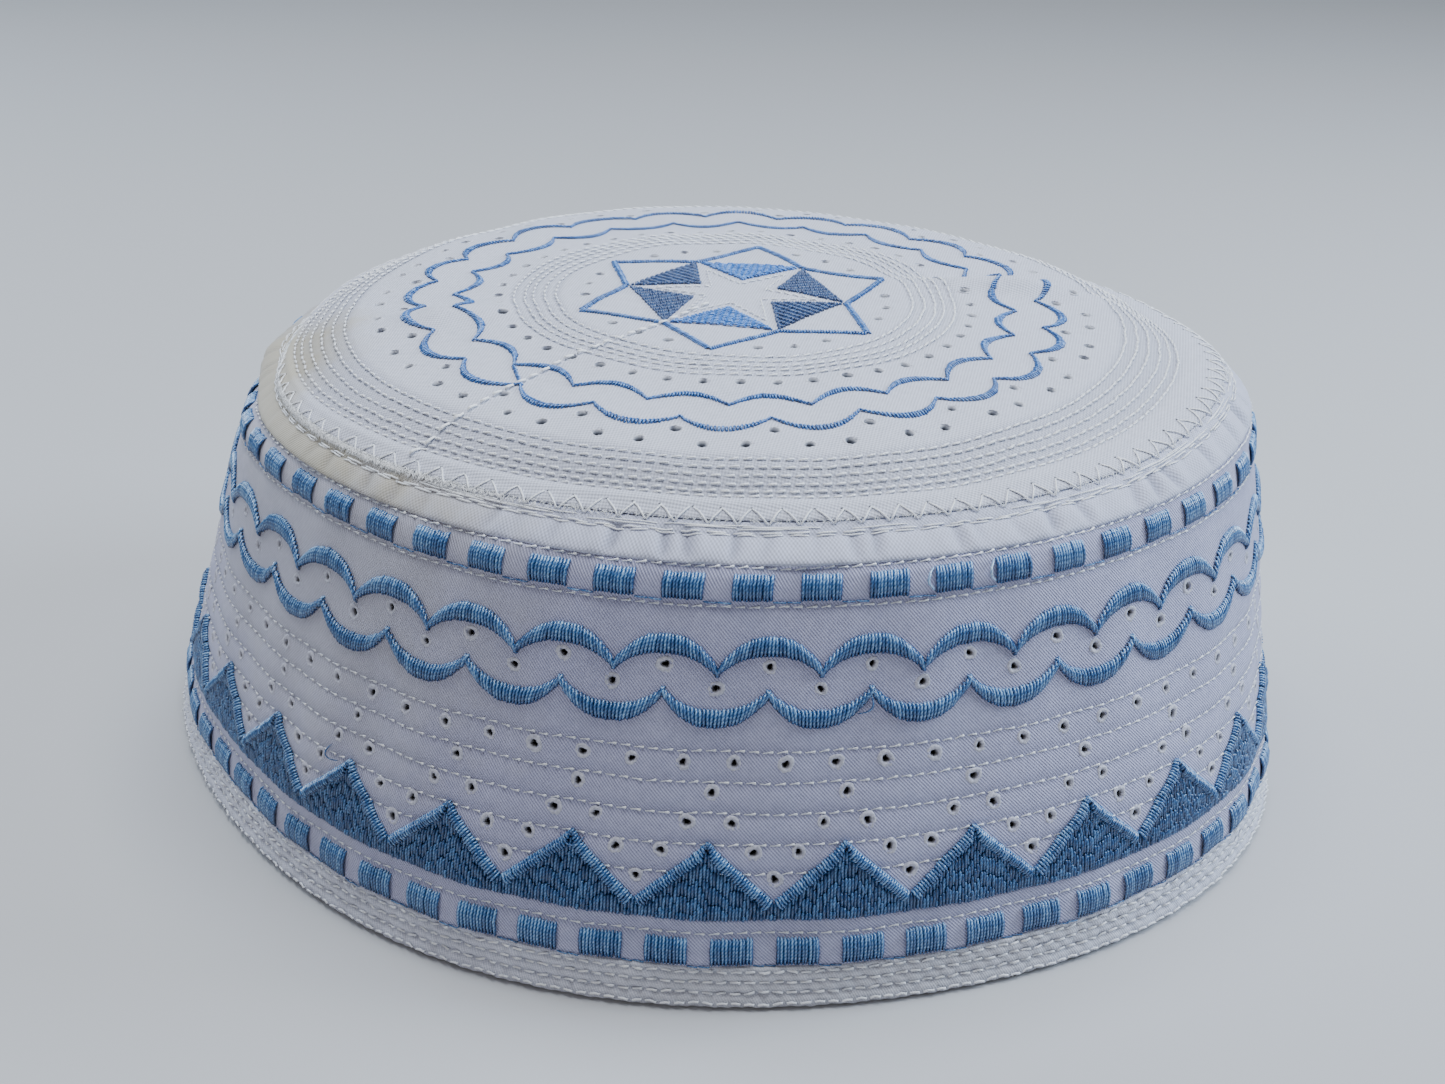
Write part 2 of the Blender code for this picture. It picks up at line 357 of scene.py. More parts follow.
def mix_colours(tree, share, first, second, blend="MIX"):
    ends = {0: share, 6: first, 7: second}
    return add(tree, "ShaderNodeMix", ends, data_type="RGBA", blend_type=blend).outputs[2]


def new_material(name):
    material = bpy.data.materials.new(name)
    material.use_nodes = True
    return material, material.node_tree.nodes["Principled BSDF"]


def add_bump(tree, shader, height, strength, distance):
    bump = add(tree, "ShaderNodeBump", {"Height": height, "Strength": strength, "Distance": distance})
    tree.links.new(bump.outputs[0], shader.inputs["Normal"])


def new_group(name, vectors, floats, results):
    """A node group with its vector and float inputs and its float results."""
    group = bpy.data.node_groups.new(name, "ShaderNodeTree")
    sides = ((vectors, "INPUT", "NodeSocketVector"), (floats, "INPUT", "NodeSocketFloat"))
    for labels, side, kind in (*sides, (results, "OUTPUT", "NodeSocketFloat")):
        for label in labels:
            group.interface.new_socket(name=label, in_out=side, socket_type=kind)
    return group, add(group, "NodeGroupInput").outputs, add(group, "NodeGroupOutput").inputs


def make_weave_group():
    """Threads over and under each other, as a height and as a light and dark tone."""
    group, given, result = new_group("weave", ["Cloth"], ["Pitch", "Turn", "Twill"], ["Height", "Tone"])
    aim = {"Vector": given["Cloth"], "Angle": given["Turn"]}
    turned = add(group, "ShaderNodeVectorRotate", aim, rotation_type="Z_AXIS")
    parts = add(group, "ShaderNodeSeparateXYZ", {0: turned.outputs[0]}).outputs
    over = math_node(group, "DIVIDE", parts[0], given["Pitch"])
    under = math_node(group, "DIVIDE", parts[1], given["Pitch"])

    def wave(value):
        return math_node(group, "SINE", math_node(group, "MULTIPLY", value, 2 * math.pi))

    plain = math_node(group, "MULTIPLY", wave(over), wave(under))
    slant = math_node(group, "MULTIPLY", wave(math_node(group, "ADD", over, under)), 0.8)
    counter = wave(math_node(group, "SUBTRACT", over, under))
    twill = math_node(group, "MULTIPLY_ADD", counter, 0.2, slant)
    mixed = add(group, "ShaderNodeMix", {0: given["Twill"], 2: plain, 3: twill}, data_type="FLOAT")
    uneven = math_node(group, "MULTIPLY_ADD", noise(group, given["Cloth"], 700.0, 2.0), 0.9, -0.45)
    height = math_node(group, "ADD", mixed.outputs[0], uneven)
    group.links.new(height, result["Height"])
    group.links.new(math_node(group, "MULTIPLY_ADD", height, 0.5, 0.5), result["Tone"])
    return group


def make_soil_group():
    """Handling marks: a soft patch round a spot, broken up by noise, as a mask."""
    group, given, result = new_group("soil", ["Place", "Spot"], ["Reach", "Weight"], ["Mask"])
    away = add(group, "ShaderNodeVectorMath", {0: given["Place"], 1: given["Spot"]}, operation="DISTANCE")
    off = math_node(group, "DIVIDE", away.outputs["Value"], given["Reach"])
    near = math_node(group, "MULTIPLY", math_node(group, "SUBTRACT", 1.0, off), 1.9)
    broken = math_node(group, "MULTIPLY_ADD", noise(group, given["Place"], 160.0, 4.0), 1.2, -0.6)
    mask = add(group, "ShaderNodeClamp", {0: math_node(group, "ADD", near, broken)}).outputs[0]
    group.links.new(math_node(group, "MULTIPLY", mask, given["Weight"]), result["Mask"])
    return group


weave_group = make_weave_group()
soil_group = make_soil_group()
Cotton = namedtuple("Cotton", "light dark pitch turn twill relief soil spot reach weight")


def cotton_material(name, cotton):
    """Woven cotton: a soft matt sheen, a fine weave, faint unevenness, a soiled patch and painted shade where
    the cloth is sunk.
    """
    material, shader = new_material(name)
    tree = material.node_tree
    shader.inputs["Roughness"].default_value = 0.78
    shader.inputs["Sheen Roughness"].default_value = 0.45
    cloth = add(tree, "ShaderNodeUVMap", uv_map="cloth").outputs[0]
    woven = {"Cloth": cloth, "Pitch": cotton.pitch, "Turn": cotton.turn, "Twill": cotton.twill}
    weave = add(tree, "ShaderNodeGroup", woven, node_tree=weave_group)
    place = add(tree, "ShaderNodeTexCoord").outputs["Object"]
    marks = {"Place": place, "Spot": cotton.spot, "Reach": cotton.reach, "Weight": cotton.weight}
    soil = add(tree, "ShaderNodeGroup", marks, node_tree=soil_group)
    under_thread = attribute(tree, "underlay")
    toned = mix_colours(tree, weave.outputs["Tone"], (*cotton.dark, 1), (*cotton.light, 1))
    soiled = mix_colours(tree, soil.outputs["Mask"], toned, (*cotton.soil, 1))
    backed = mix_colours(tree, under_thread, soiled, (0.012, 0.05, 0.15, 1))
    # Painted shade where the cloth is sunk.
    shaded = mix_colours(tree, attribute(tree, "groove_shade"), backed, (0.50, 0.50, 0.54, 1), "MULTIPLY")
    tree.links.new(shaded, shader.inputs["Base Color"])
    bare = math_node(tree, "MULTIPLY_ADD", under_thread, -0.25, 0.25)
    tree.links.new(bare, shader.inputs["Sheen Weight"])
    add_bump(tree, shader, weave.outputs["Height"], 0.6, cotton.relief)
    return material


shoulder_spot = (-0.052, 0.047, 0.066)
# The same cotton as the hem's and the strip's, coloured darker and bluer: painted shade and painted cool
# light on the wall.
wall_cotton = Cotton(
    light=(0.63, 0.63, 0.84),
    dark=(0.285, 0.29, 0.45),
    pitch=0.00055,
    turn=0.0,
    twill=1.0,
    relief=0.00009,
    soil=(0.56, 0.54, 0.50),
    spot=(-0.074, 0.030, 0.060),
    reach=0.055,
    weight=0.4,
)
side_band_cloth.data.materials.append(cotton_material("wall_cotton", wall_cotton))
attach(side_band_cloth, "root")
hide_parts("side_band")

# The wall's eyelets
# Small holes made with a thick needle, each with its ring of pushed-out, puckered threads.
# One lies under each scallop and below each cusp, and more in rows between the quilting rows.
seam_clear = 0.004


def shares_of(repeat, shift=0.0, clear=seam_clear):
    """Where a repeated motif falls round the wall, leaving out what would cross the back seam."""
    found = repeat.first + repeat.pitch * (np.arange(-1, 1 / repeat.pitch + 1) + shift)
    return found[(found > clear) & (found < 1 - clear)]


valley = 0.5
beside = 2.05 / 12.5
wall_eyelet_rows = [
    (50.4, shares_of(scallops, 0.5)),
    (47.35, shares_of(scallops)),
    (36.8, shares_of(close_eyelets)),
    (32.5, shares_of(triangles)),
    (28.2, np.concatenate([shares_of(triangles, -beside), shares_of(triangles, beside)])),
    (24.0, np.concatenate([shares_of(triangles, valley - beside), shares_of(triangles, valley + beside)])),
    (20.0, shares_of(triangles, valley)),
]
wall_eyelet_spots = np.concatenate(
    [[shares, np.full(len(shares), height)] for height, shares in wall_eyelet_rows], axis=1
)


def copies_of(name, template, count):
    """One small mesh repeated by an array and joined, its copies in the array's order."""
    source = show(name, template)
    array = source.modifiers.new("copies", "ARRAY")
    array.count = count
    array.use_relative_offset = False
    array.use_merge_vertices = False
    mesh = bpy.data.meshes.new_from_object(source.evaluated_get(bpy.context.evaluated_depsgraph_get()))
    mesh.name = name
    bpy.data.objects.remove(source)
    bpy.data.meshes.remove(template)
    return mesh


eyelet_sides = 14
needle_length = 9.0


def eyelet_ring(profile):
    """A puckered ring turned from its profile of radii and heights, in millimetres."""
    work = bmesh.new()
    corners = [work.verts.new((radius, 0, height)) for radius, height in profile]
    edges = [work.edges.new(ends) for ends in zip(corners, corners[1:] + corners[:1])]
    sweep = {"cent": (0, 0, 0), "axis": (0, 0, 1), "angle": 2 * math.pi, "steps": eyelet_sides}
    bmesh.ops.spin(work, geom=corners + edges, use_merge=True, **sweep)
    bmesh.ops.recalc_face_normals(work, faces=work.faces)
    mesh = mesh_from("eyelet_ring", work)
    mesh.shade_smooth()
    return mesh


def pierce(cloth, points, out, radius):
    """Cut round holes through a piece of cloth along each eyelet's own way."""
    work = bmesh.new()
    size = {"radius1": radius * MM, "radius2": radius * MM, "depth": needle_length * MM}
    for centre, way in zip(points.T, out.T):
        upright = Vector(way).to_track_quat("Z", "Y").to_matrix().to_4x4()
        spot = Matrix.Translation(Vector(centre) * MM) @ upright
        bmesh.ops.create_cone(work, cap_ends=True, segments=8, matrix=spot, **size)
    needles = show("needles", mesh_from("needles", work))
    cut = cloth.modifiers.new("eyelets", "BOOLEAN")
    cut.operation = "DIFFERENCE"
    cut.solver = "MANIFOLD"
    cut.object = needles
    pierced = bpy.data.meshes.new_from_object(cloth.evaluated_get(bpy.context.evaluated_depsgraph_get()))
    cloth.modifiers.remove(cut)
    whole = cloth.data
    pierced.name = whole.name + "_pierced"
    cloth.data = pierced
    bpy.data.meshes.remove(whole)
    bpy.data.objects.remove(needles)


def eyelets(name, cloth, hole_radius, points, out, profile, seed, material):
    """Holes at points of the cloth and rings round them, each turned and puckered in its own way."""
    pierce(cloth, points, out, hole_radius)
    draw = np.random.default_rng(seed)
    template = eyelet_ring(profile)
    x, y, z = spots_of(template).T
    count = points.shape[1]
    mesh = copies_of(name, template, count)
    reach = np.hypot(x, y)
    angle = np.arctan2(y, x) + draw.uniform(0, 2 * math.pi, (count, 1))
    spoke = np.rint(np.arctan2(y, x) / (2 * math.pi) * eyelet_sides) % 2 * 2 - 1
    on_rim = np.clip((reach - 0.5) / 0.4, 0, 1) * np.clip(1 + z * 2, 0, 1)
    pucker = draw.normal(0, 0.05, (count, len(z)))
    lobe = 0.07 * np.cos(2 * angle + draw.uniform(0, 6, (count, 1)))
    lobe += 0.05 * np.cos(3 * angle + draw.uniform(0, 6, (count, 1)))
    radius = (reach + pucker + lobe) * draw.uniform(0.88, 1.14, (count, 1))
    lift = z + draw.normal(0, 0.025, (count, len(z))) + 0.05 * spoke * on_rim
    aside = np.cross(out, np.array([0.3, 0.2, 1.0])[:, None] + 0 * out, axis=0)
    aside /= np.linalg.norm(aside, axis=0)
    third = np.cross(out, aside, axis=0)
    spread = aside[:, :, None] * (radius * np.cos(angle)) + third[:, :, None] * (radius * np.sin(angle))
    place_spots(mesh, (points[:, :, None] + spread + out[:, :, None] * lift).transpose(1, 2, 0))
    # Painted shade: the ring darkens down into the hole.
    eyelet_hole_shade = np.clip(-z * 2.4, 0, 1) * np.clip((0.85 - reach) / 0.1, 0, 1)
    set_attribute(mesh, "eyelet_hole_shade", np.tile(eyelet_hole_shade, count))
    mesh.materials.append(material)
    return show(name, mesh)


def on_wall(share, height):
    """Points on the quilted wall and the way out of it there."""
    out = wall_out(share, height)
    return wall_face(share, height) + out * wall_relief(share, height), out


def eyelet_material(name, light, dark, deep):
    """Cotton threads pushed aside, light on the rim, with painted shade darkening them down the hole."""
    material, shader = new_material(name)
    tree = material.node_tree
    shader.inputs["Roughness"].default_value = 0.7
    fibres = noise(tree, add(tree, "ShaderNodeTexCoord").outputs["Object"], 2600.0, 2.0)
    rim = mix_colours(tree, fibres, (*dark, 1), (*light, 1))
    # Painted shade down the hole.
    down = mix_colours(tree, attribute(tree, "eyelet_hole_shade"), rim, (*deep, 1))
    tree.links.new(down, shader.inputs["Base Color"])
    add_bump(tree, shader, fibres, 0.6, 0.00005)
    return material


wall_eyelet_profile = [
    (1.22, -0.12), (1.06, 0.05), (0.86, 0.11), (0.64, 0.02), (0.44, -0.28), (0.24, -0.90), (0.85, -0.70)
]
wall_eyelets = eyelets(
    "side_band_eyelets",
    side_band_cloth,
    0.70,
    *on_wall(*wall_eyelet_spots),
    wall_eyelet_profile,
    21,
    # The last colour is painted shade down the holes.
    eyelet_material("wall_eyelet_cotton", (0.86, 0.86, 0.95), (0.27, 0.27, 0.35), (0.12, 0.115, 0.11)),
)
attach(wall_eyelets, "root")

# The wall's blue embroidery
# Shiny blue thread in satin stitch: two rows of squares joined by a travelling thread, a double
# garland of scallops, and triangles filled with long stitches under a satin border.
# gleam lightens each stitch towards its end and darkens it towards its start: a painted highlight and painted
# shade (on the wall's satin stitches the end is the upper one).
Stitch = namedtuple("Stitch", "shares lifts widths wobble bow gleam", defaults=(0.0, 0.0))
satin_stitch = Stitch(
    shares=np.array([0.0, 0.09, 0.32, 0.60, 0.90, 1.0]),
    lifts=np.array([-0.40, 0.14, 0.44, 0.54, 0.26, -0.35]),
    widths=np.array([0.0, 0.80, 1.0, 1.0, 0.90, 0.0]),
    wobble=0.03,
    gleam=2.2,
)
thread_sides = 4


def sew(name, pair, face, stitch, width, height, seed, material):
    """Stitches between pairs of places on a face of the cloth, as one piece of short threads."""
    start, end = pair
    draw = np.random.default_rng(seed)
    stations = len(stitch.shares)
    count = start.shape[1]
    work = bmesh.new()
    bmesh.ops.create_uvsphere(work, u_segments=thread_sides, v_segments=stations - 1, radius=1.0)
    template = mesh_from("stitch", work)
    template.shade_smooth()
    x, y, z = spots_of(template).T
    station = np.rint(np.arccos(np.clip(z, -1, 1)) / math.pi * (stations - 1)).astype(int)
    angle = np.arctan2(y, x)
    mesh = copies_of(name, template, count)
    spread = start[:, :, None] + (end - start)[:, :, None] * stitch.shares
    points, out = face(spread[0].ravel(), spread[1].ravel())
    points = points.reshape(3, count, stations)
    out = out.reshape(3, count, stations)
    points = points + out * (stitch.lifts + draw.normal(0, 0.02, (1, count, 1)))
    way = np.gradient(points, axis=2)
    way /= np.linalg.norm(way, axis=0)
    side = np.cross(way, out, axis=0)
    side /= np.linalg.norm(side, axis=0)
    points = points + side * (stitch.bow + draw.normal(0, stitch.wobble, (1, count, stations)))
    lifted = np.cross(side, way, axis=0)
    thick = stitch.widths[station]
    swell = side[:, :, station] * (width / 2 * thick * np.cos(angle))
    swell += lifted[:, :, station] * (height / 2 * thick * np.sin(angle))
    place_spots(mesh, (points[:, :, station] + swell).transpose(1, 2, 0))
    lengths = np.linalg.norm(points[:, :, -1] - points[:, :, 0], axis=0)
    set_attribute(mesh, "along", stitch.shares[station] * lengths[:, None] * MM)
    set_attribute(mesh, "round", np.tile(angle, count))
    # Painted shade where the thread dips into the cloth at its ends.
    set_attribute(mesh, "dip_shade", np.tile(1 - thick, count))
    # Painted highlight at each stitch's end and painted shade at its start, carried in its tone with its own
    # random tone.
    gleam = stitch.gleam * (2 * stitch.shares[station] - 1) ** 5
    set_attribute(mesh, "tone", draw.uniform(0, 1, (count, 1)) + gleam)
    mesh.materials.append(material)
    piece = show(name, mesh)
    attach(piece, "root")


def make_twist_group():
    """The two plies of a sewing thread, as a height along and round it."""
    group, given, result = new_group("thread twist", [], ["Along", "Round", "Pitch"], ["Height"])
    turns = math_node(group, "DIVIDE", given["Along"], given["Pitch"])
    wound = math_node(group, "MULTIPLY_ADD", turns, 2 * math.pi, given["Round"])
    group.links.new(math_node(group, "ABSOLUTE", math_node(group, "SINE", wound)), result["Height"])
    return group


twist_group = make_twist_group()


def thread_material(name, dark, middle, light, roughness, pitch, side_shade):
    """Thread with its twist, each stitch a little lighter or darker than the next, with a painted gleam,
    painted shade on its sides and dips, and painted glints.
    """
    material, shader = new_material(name)
    tree = material.node_tree
    shader.inputs["Roughness"].default_value = roughness
    shader.inputs["Specular IOR Level"].default_value = 1.0
    round_it = attribute(tree, "round")
    wound = {"Along": attribute(tree, "along"), "Round": round_it, "Pitch": pitch}
    twist = add(tree, "ShaderNodeGroup", wound, node_tree=twist_group)
    # Painted shade down each side of the thread.
    flank_shade = math_node(tree, "ABSOLUTE", math_node(tree, "COSINE", round_it))
    # Painted glints: noise lightens small specks of the thread.
    glint_noise = noise(tree, add(tree, "ShaderNodeTexCoord").outputs["Object"], 1900.0, 1.0)
    glint = add(tree, "ShaderNodeClamp", {0: math_node(tree, "MULTIPLY_ADD", glint_noise, 6.0, -3.4)})
    # The colour mixes each stitch's own random tone with painted light: the gleam carried in its tone, the
    # painted shade on its sides and dips, and the painted glints.
    shade = 0.30
    for value, weight in (
        (attribute(tree, "tone"), 0.35),
        (twist.outputs["Height"], 0.35),
        (flank_shade, -side_shade),
        (attribute(tree, "dip_shade"), -0.5),
        (glint.outputs[0], 0.3),
    ):
        shade = math_node(tree, "MULTIPLY_ADD", value, weight, shade)
    ramp = add(tree, "ShaderNodeValToRGB", {0: shade})
    ramp.color_ramp.elements[0].color = (*dark, 1)
    ramp.color_ramp.elements[1].color = (*light, 1)
    ramp.color_ramp.elements.new(0.5).color = (*middle, 1)
    tree.links.new(ramp.outputs[0], shader.inputs["Base Color"])
    add_bump(tree, shader, twist.outputs["Height"], 0.5, 0.00004)
    return material


blue_thread = thread_material(
    "blue_thread", (0.006, 0.030, 0.115), (0.038, 0.145, 0.37), (0.33, 0.58, 0.88), 0.24, 0.0011, 0.55
)
# The same thread as blue_thread, coloured darker where it lies flat in the triangles' fill: painted shade, as
# the domed satin catches more sheen.
shaded_fill_thread = thread_material(
    "shaded_fill_blue_thread", (0.005, 0.022, 0.085), (0.017, 0.070, 0.205), (0.13, 0.32, 0.62), 0.28, 0.0011, 0.36
)
pale_thread = thread_material(
    "pale_blue_thread", (0.14, 0.30, 0.56), (0.36, 0.56, 0.82), (0.80, 0.92, 1.0), 0.24, 0.0011, 0.3
)
satin_width = 0.63
satin_height = 0.50
square_draw = np.random.default_rng(31)
SquareRow = namedtuple("SquareRow", "repeat low high width girth lean travel_height")
square_rows = [
    SquareRow(lower_squares, 6.75, 11.5, 6.1, girth, 0.0, 6.95),
    SquareRow(upper_squares, 59.25, 63.35, 5.65, 512.8, 0.45, 59.3),
]


def square_threads(row):
    """Twelve upright threads for each square of a row, as starts and ends on the wall."""
    centres = shares_of(row.repeat, clear=row.width / row.girth * 0.6)
    across = (np.arange(12) + 0.5) / 12 - 0.5
    spots = (centres[:, None] + across * row.width / row.girth).ravel()
    lean = (square_draw.normal(0, 0.03, (2, len(spots))) - np.array([[0.0], [row.lean]])) / row.girth
    bottoms = row.low + square_draw.normal(0, 0.05, len(spots))
    tops = row.high + square_draw.normal(0, 0.06, len(spots))
    return np.array([spots + lean[0], bottoms]), np.array([spots + lean[1], tops])


def travel_threads(row):
    """The thread that runs low from each square to the next, dipping under halfway."""
    centres = shares_of(row.repeat, clear=row.width / row.girth * 0.6)
    half = row.width / row.girth / 2
    first = (centres[:-1] + half)[:, None]
    gap = (centres[1:] - half)[:, None] - first
    starts = (first + gap * np.array([-0.04, 0.46])).ravel()
    ends = (first + gap * np.array([0.54, 1.04])).ravel()
    level = np.full(len(starts), row.travel_height)
    return np.array([starts, level]), np.array([ends, level - 0.05])


def join(*pairs):
    """Joins pairs of tables, such as the starts and ends of stitches, side by side."""
    return tuple(np.concatenate(tables, axis=1) for tables in zip(*pairs))


running_stitch = Stitch(
    shares=np.array([0.0, 0.14, 0.5, 0.86, 1.0]),
    lifts=np.array([-0.30, 0.08, 0.18, 0.30, -0.30]),
    widths=np.array([0.0, 0.9, 1.0, 1.0, 0.0]),
    wobble=0.03,
)
square_pair = join(*map(square_threads, square_rows))
sew("square_embroidery", square_pair, on_wall, satin_stitch, satin_width, satin_height, 32, blue_thread)
travel_pair = join(*map(travel_threads, square_rows))
sew("travel_threads", travel_pair, on_wall, running_stitch, 0.27, 0.24, 33, blue_thread)

garland_girth = 530.0
scallop_threads = 28
scallop_splay = 0.55


def scallop(shift, middle_height, bend, half_width, tip_half, rise):
    """Satin threads across each scallop. Rise is 1 for an arch and -1 for a hanging one."""
    centres = shares_of(scallops, shift, scallops.pitch * 0.51)[:, None]
    across = (np.arange(scallop_threads) + 0.5) / scallop_threads * 2 - 1
    level = middle_height - rise * bend * np.abs(across) ** 2.4
    half = tip_half + (half_width - tip_half) * (1 - across ** 2) ** 0.8
    reach = centres + 0.5 * scallops.pitch * across
    spread = rise * scallop_splay * across / garland_girth
    jitter = np.random.default_rng(34 + rise).normal(0, 0.05, (2, len(centres), scallop_threads))
    starts = np.array([(reach + spread).ravel(), (level - half + jitter[0]).ravel()])
    return starts, np.array([(reach - spread).ravel(), (level + half + jitter[1]).ravel()])


scallop_pair = join(scallop(0.5, 53.25, 3.5, 1.57, 1.15, 1), scallop(0.0, 43.05, 3.5, 1.48, 1.10, -1))
sew("garland_embroidery", scallop_pair, on_wall, satin_stitch, satin_width, satin_height, 35, blue_thread)

border_width = 1.9
fill_stitch = 2.5


def triangle_fill():
    """Upright stitches laid end to end in courses that are offset like bricks."""
    draw = np.random.default_rng(36)
    columns = int(girth / 0.50)
    starts = []
    ends = []
    for column in range(2, columns - 1):
        share = (column + 0.5) / columns
        top = max(slope_height(share) - border_width * 0.7, valley_height - 0.25)
        low = band_low + draw.normal(0, 0.06)
        cut = band_low + fill_stitch * draw.uniform(0, 1)
        while low < top - 0.3:
            high = min(cut if cut > low + 0.7 else cut + fill_stitch, top)
            starts.append((share + draw.normal(0, 0.03) / girth, max(low - 0.25, band_low - 0.05)))
            ends.append((share + draw.normal(0, 0.03) / girth, high + 0.25))
            low = high
            cut = high + fill_stitch * draw.uniform(0.75, 1.1)
    return np.array(starts).T, np.array(ends).T


def triangle_border():
    """Satin threads across both slopes of each triangle, square to the slope."""
    draw = np.random.default_rng(37)
    half = triangles.pitch / 2
    per_slope = 28
    part = (np.arange(per_slope) + 0.5) / per_slope
    slope = math.atan2(apex_height - valley_height, half * girth)
    level = apex_height - (apex_height - valley_height) * part
    fade = np.clip(part * 6, 0.35, 1) * np.where(part > 0.93, 1.15, 1.0)
    pairs = []
    for apex in shares_of(triangles, 0.0, half * 1.02):
        for hand in (-1, 1):
            share = apex + hand * half * part
            inward = -hand * border_width * math.sin(slope) / girth
            jitter = draw.normal(0, 0.05, (2, per_slope))
            foot = level - border_width * math.cos(slope) * fade + jitter[1]
            pairs.append(([share + inward * fade, foot], [share, level + jitter[0]]))
    return join(*pairs)


fill_satin = Stitch(
    shares=np.array([0.0, 0.16, 0.50, 0.82, 1.0]),
    lifts=np.array([-0.05, 0.16, 0.30, 0.30, 0.10]),
    widths=np.array([0.40, 0.95, 1.0, 0.95, 0.40]),
    wobble=0.03,
    gleam=1.3,
)
border_stitch = satin_stitch._replace(lifts=satin_stitch.lifts + np.array([0, 0.1, 0.25, 0.25, 0.1, 0]))
sew("triangle_fill", triangle_fill(), on_wall, fill_satin, 0.60, 0.44, 38, shaded_fill_thread)
sew("triangle_border", triangle_border(), on_wall, border_stitch, 0.58, 0.48, 39, blue_thread)

loop = Stitch(
    shares=np.linspace(0, 1, 9),
    lifts=np.array([-0.3, 0.35, 0.7, 0.9, 1.0, 0.95, 0.7, 0.3, -0.3]),
    widths=np.array([0.0, 0.9, 1.0, 1.0, 1.0, 1.0, 1.0, 0.9, 0.0]),
    wobble=0.06,
    bow=-1.5 * np.sin(np.linspace(0, math.pi, 9)),
)
loop_pair = (np.array([[0.38150, 0.40035], [59.7, 59.7]]), np.array([[0.38060, 0.39945], [63.2, 63.2]]))
sew("loose_loops", loop_pair, on_wall, loop, 0.42, 0.36, 120, pale_thread)
low_loop = Stitch(loop.shares, loop.lifts + 0.25, loop.widths, 0.05, 1.3 * np.sin(np.linspace(0, math.pi, 9)))
pulled_start = np.array([[0.28580, 0.21250, 0.36020], [24.6, 26.6, 43.4]])
pulled_end = np.array([[0.29290, 0.21560, 0.36330], [24.7, 24.3, 46.8]])
sew("pulled_threads", (pulled_start, pulled_end), on_wall, low_loop, 0.30, 0.26, 121, blue_thread)

# The wall's white stitching
# White sewing thread in rows of two-millimetre stitches, which quilt the two layers together.
white_thread = thread_material(
    "white_thread", (0.74, 0.77, 0.84), (0.93, 0.95, 1.0), (1.0, 1.0, 1.0), 0.26, 0.0007, 0.10
)
stitch_length = 2.0


def row_edges(length, seed, wander):
    """The ends of a row's stitches as shares of its length, and how far each strays from the row."""
    draw = np.random.default_rng(seed)
    count = round(length / stitch_length)
    return (np.arange(count + 1) + draw.normal(0, 0.04, count + 1)) / count, draw.normal(0, wander, count + 1)


def row_of_stitches(height, girth_here, seed, wander=0.06):
    """Running stitches round the wall at a height, from the back seam to itself."""
    edges, stray = row_edges(girth_here, seed, wander)
    level = height + stray
    slip = 0.06 / (len(edges) - 1)
    return np.array([edges[:-1] + slip, level[:-1] - 0.07]), np.array([edges[1:] - slip, level[1:] + 0.14])


def wall_girth(height):
    return np.interp(height, (9.6, 61.4, 64.1), (580.5, 512.8, 506.2))


wall_rows = [
    row_of_stitches(height, wall_girth(height), 40 + row) for row, height in enumerate(wall_stitch_rows)
]
wall_stitch = Stitch(
    shares=running_stitch.shares,
    lifts=np.array([-0.30, 0.04, 0.08, 0.24, -0.25]),
    widths=np.array([0.0, 0.50, 0.48, 1.0, 0.0]),
    wobble=0.03,
    gleam=1.0,
)
sew("wall_stitching", join(*wall_rows), on_wall, wall_stitch, 0.42, 0.38, 48, white_thread)

# The hem
# The wall's lower edge turned up and stitched in close rows, and its very edge rolled into a
# small cord that the cap stands on. Its cut is a list of heights and depths under the face.
hem_stitch_rows = (5.9, 4.3, 2.6, 1.1)
hem_outer_cut = [
    (6.72, 0.05), (6.45, -0.10), (6.20, -0.05), (5.90, 0.18), (5.60, -0.06), (5.25, -0.22), (4.90, -0.20),
    (4.60, -0.04), (4.30, 0.16), (4.00, -0.08), (3.65, -0.26), (3.25, -0.26), (2.90, -0.08), (2.60, 0.10),
    (2.30, -0.14), (1.90, -0.38), (1.40, -0.52), (0.90, -0.48), (0.45, -0.25), (0.14, 0.15),
]
hem_inner_cut = [
    (0.0, 0.7), (0.0, 1.8), (0.15, 2.3), (0.6, 2.65), (1.4, 2.6), (2.6, 2.3), (4.3, 2.2), (6.4, 2.1),
    (6.75, 1.7), (6.80, 1.1), (6.80, 0.5), (6.72, 0.05),
]
hem_cut = np.array(hem_outer_cut + hem_inner_cut)
hem_cut_length = length_along(hem_cut)


def hem_relief(share, height):
    """The cord's small bumps and the folds that the stitches pull into the hem."""
    way_round = 2 * math.pi * share
    bumps = 0.12 * np.cos(290 * way_round) + 0.10 * np.cos(91 * way_round + 1.3 * height)
    puckers = 0.13 * np.cos(232 * way_round + 2.4 * height) + 0.10 * np.cos(97 * way_round - 1.1 * height)
    return np.where(height < 1.8, bumps, puckers)


def lay_hem(share, row):
    height, depth = hem_cut[row].T
    relief = np.where(depth < 0.6, hem_relief(share, height), 0.0)
    points = wall_face(share, height) + wall_out(share, height + 0.1) * (relief - depth)
    points[2] = np.maximum(np.where(height <= 0.0, 0.0, points[2]), 0.0)
    # Painted shade along the stitched rows.
    rows_off = np.min([np.abs(height - level) for level in hem_stitch_rows], axis=0)
    groove_shade = np.where(depth < 0.6, 0.6 * bell(rows_off, 0.5), 0.0)
    return points, np.array([share * girth, -hem_cut_length[row]]), groove_shade


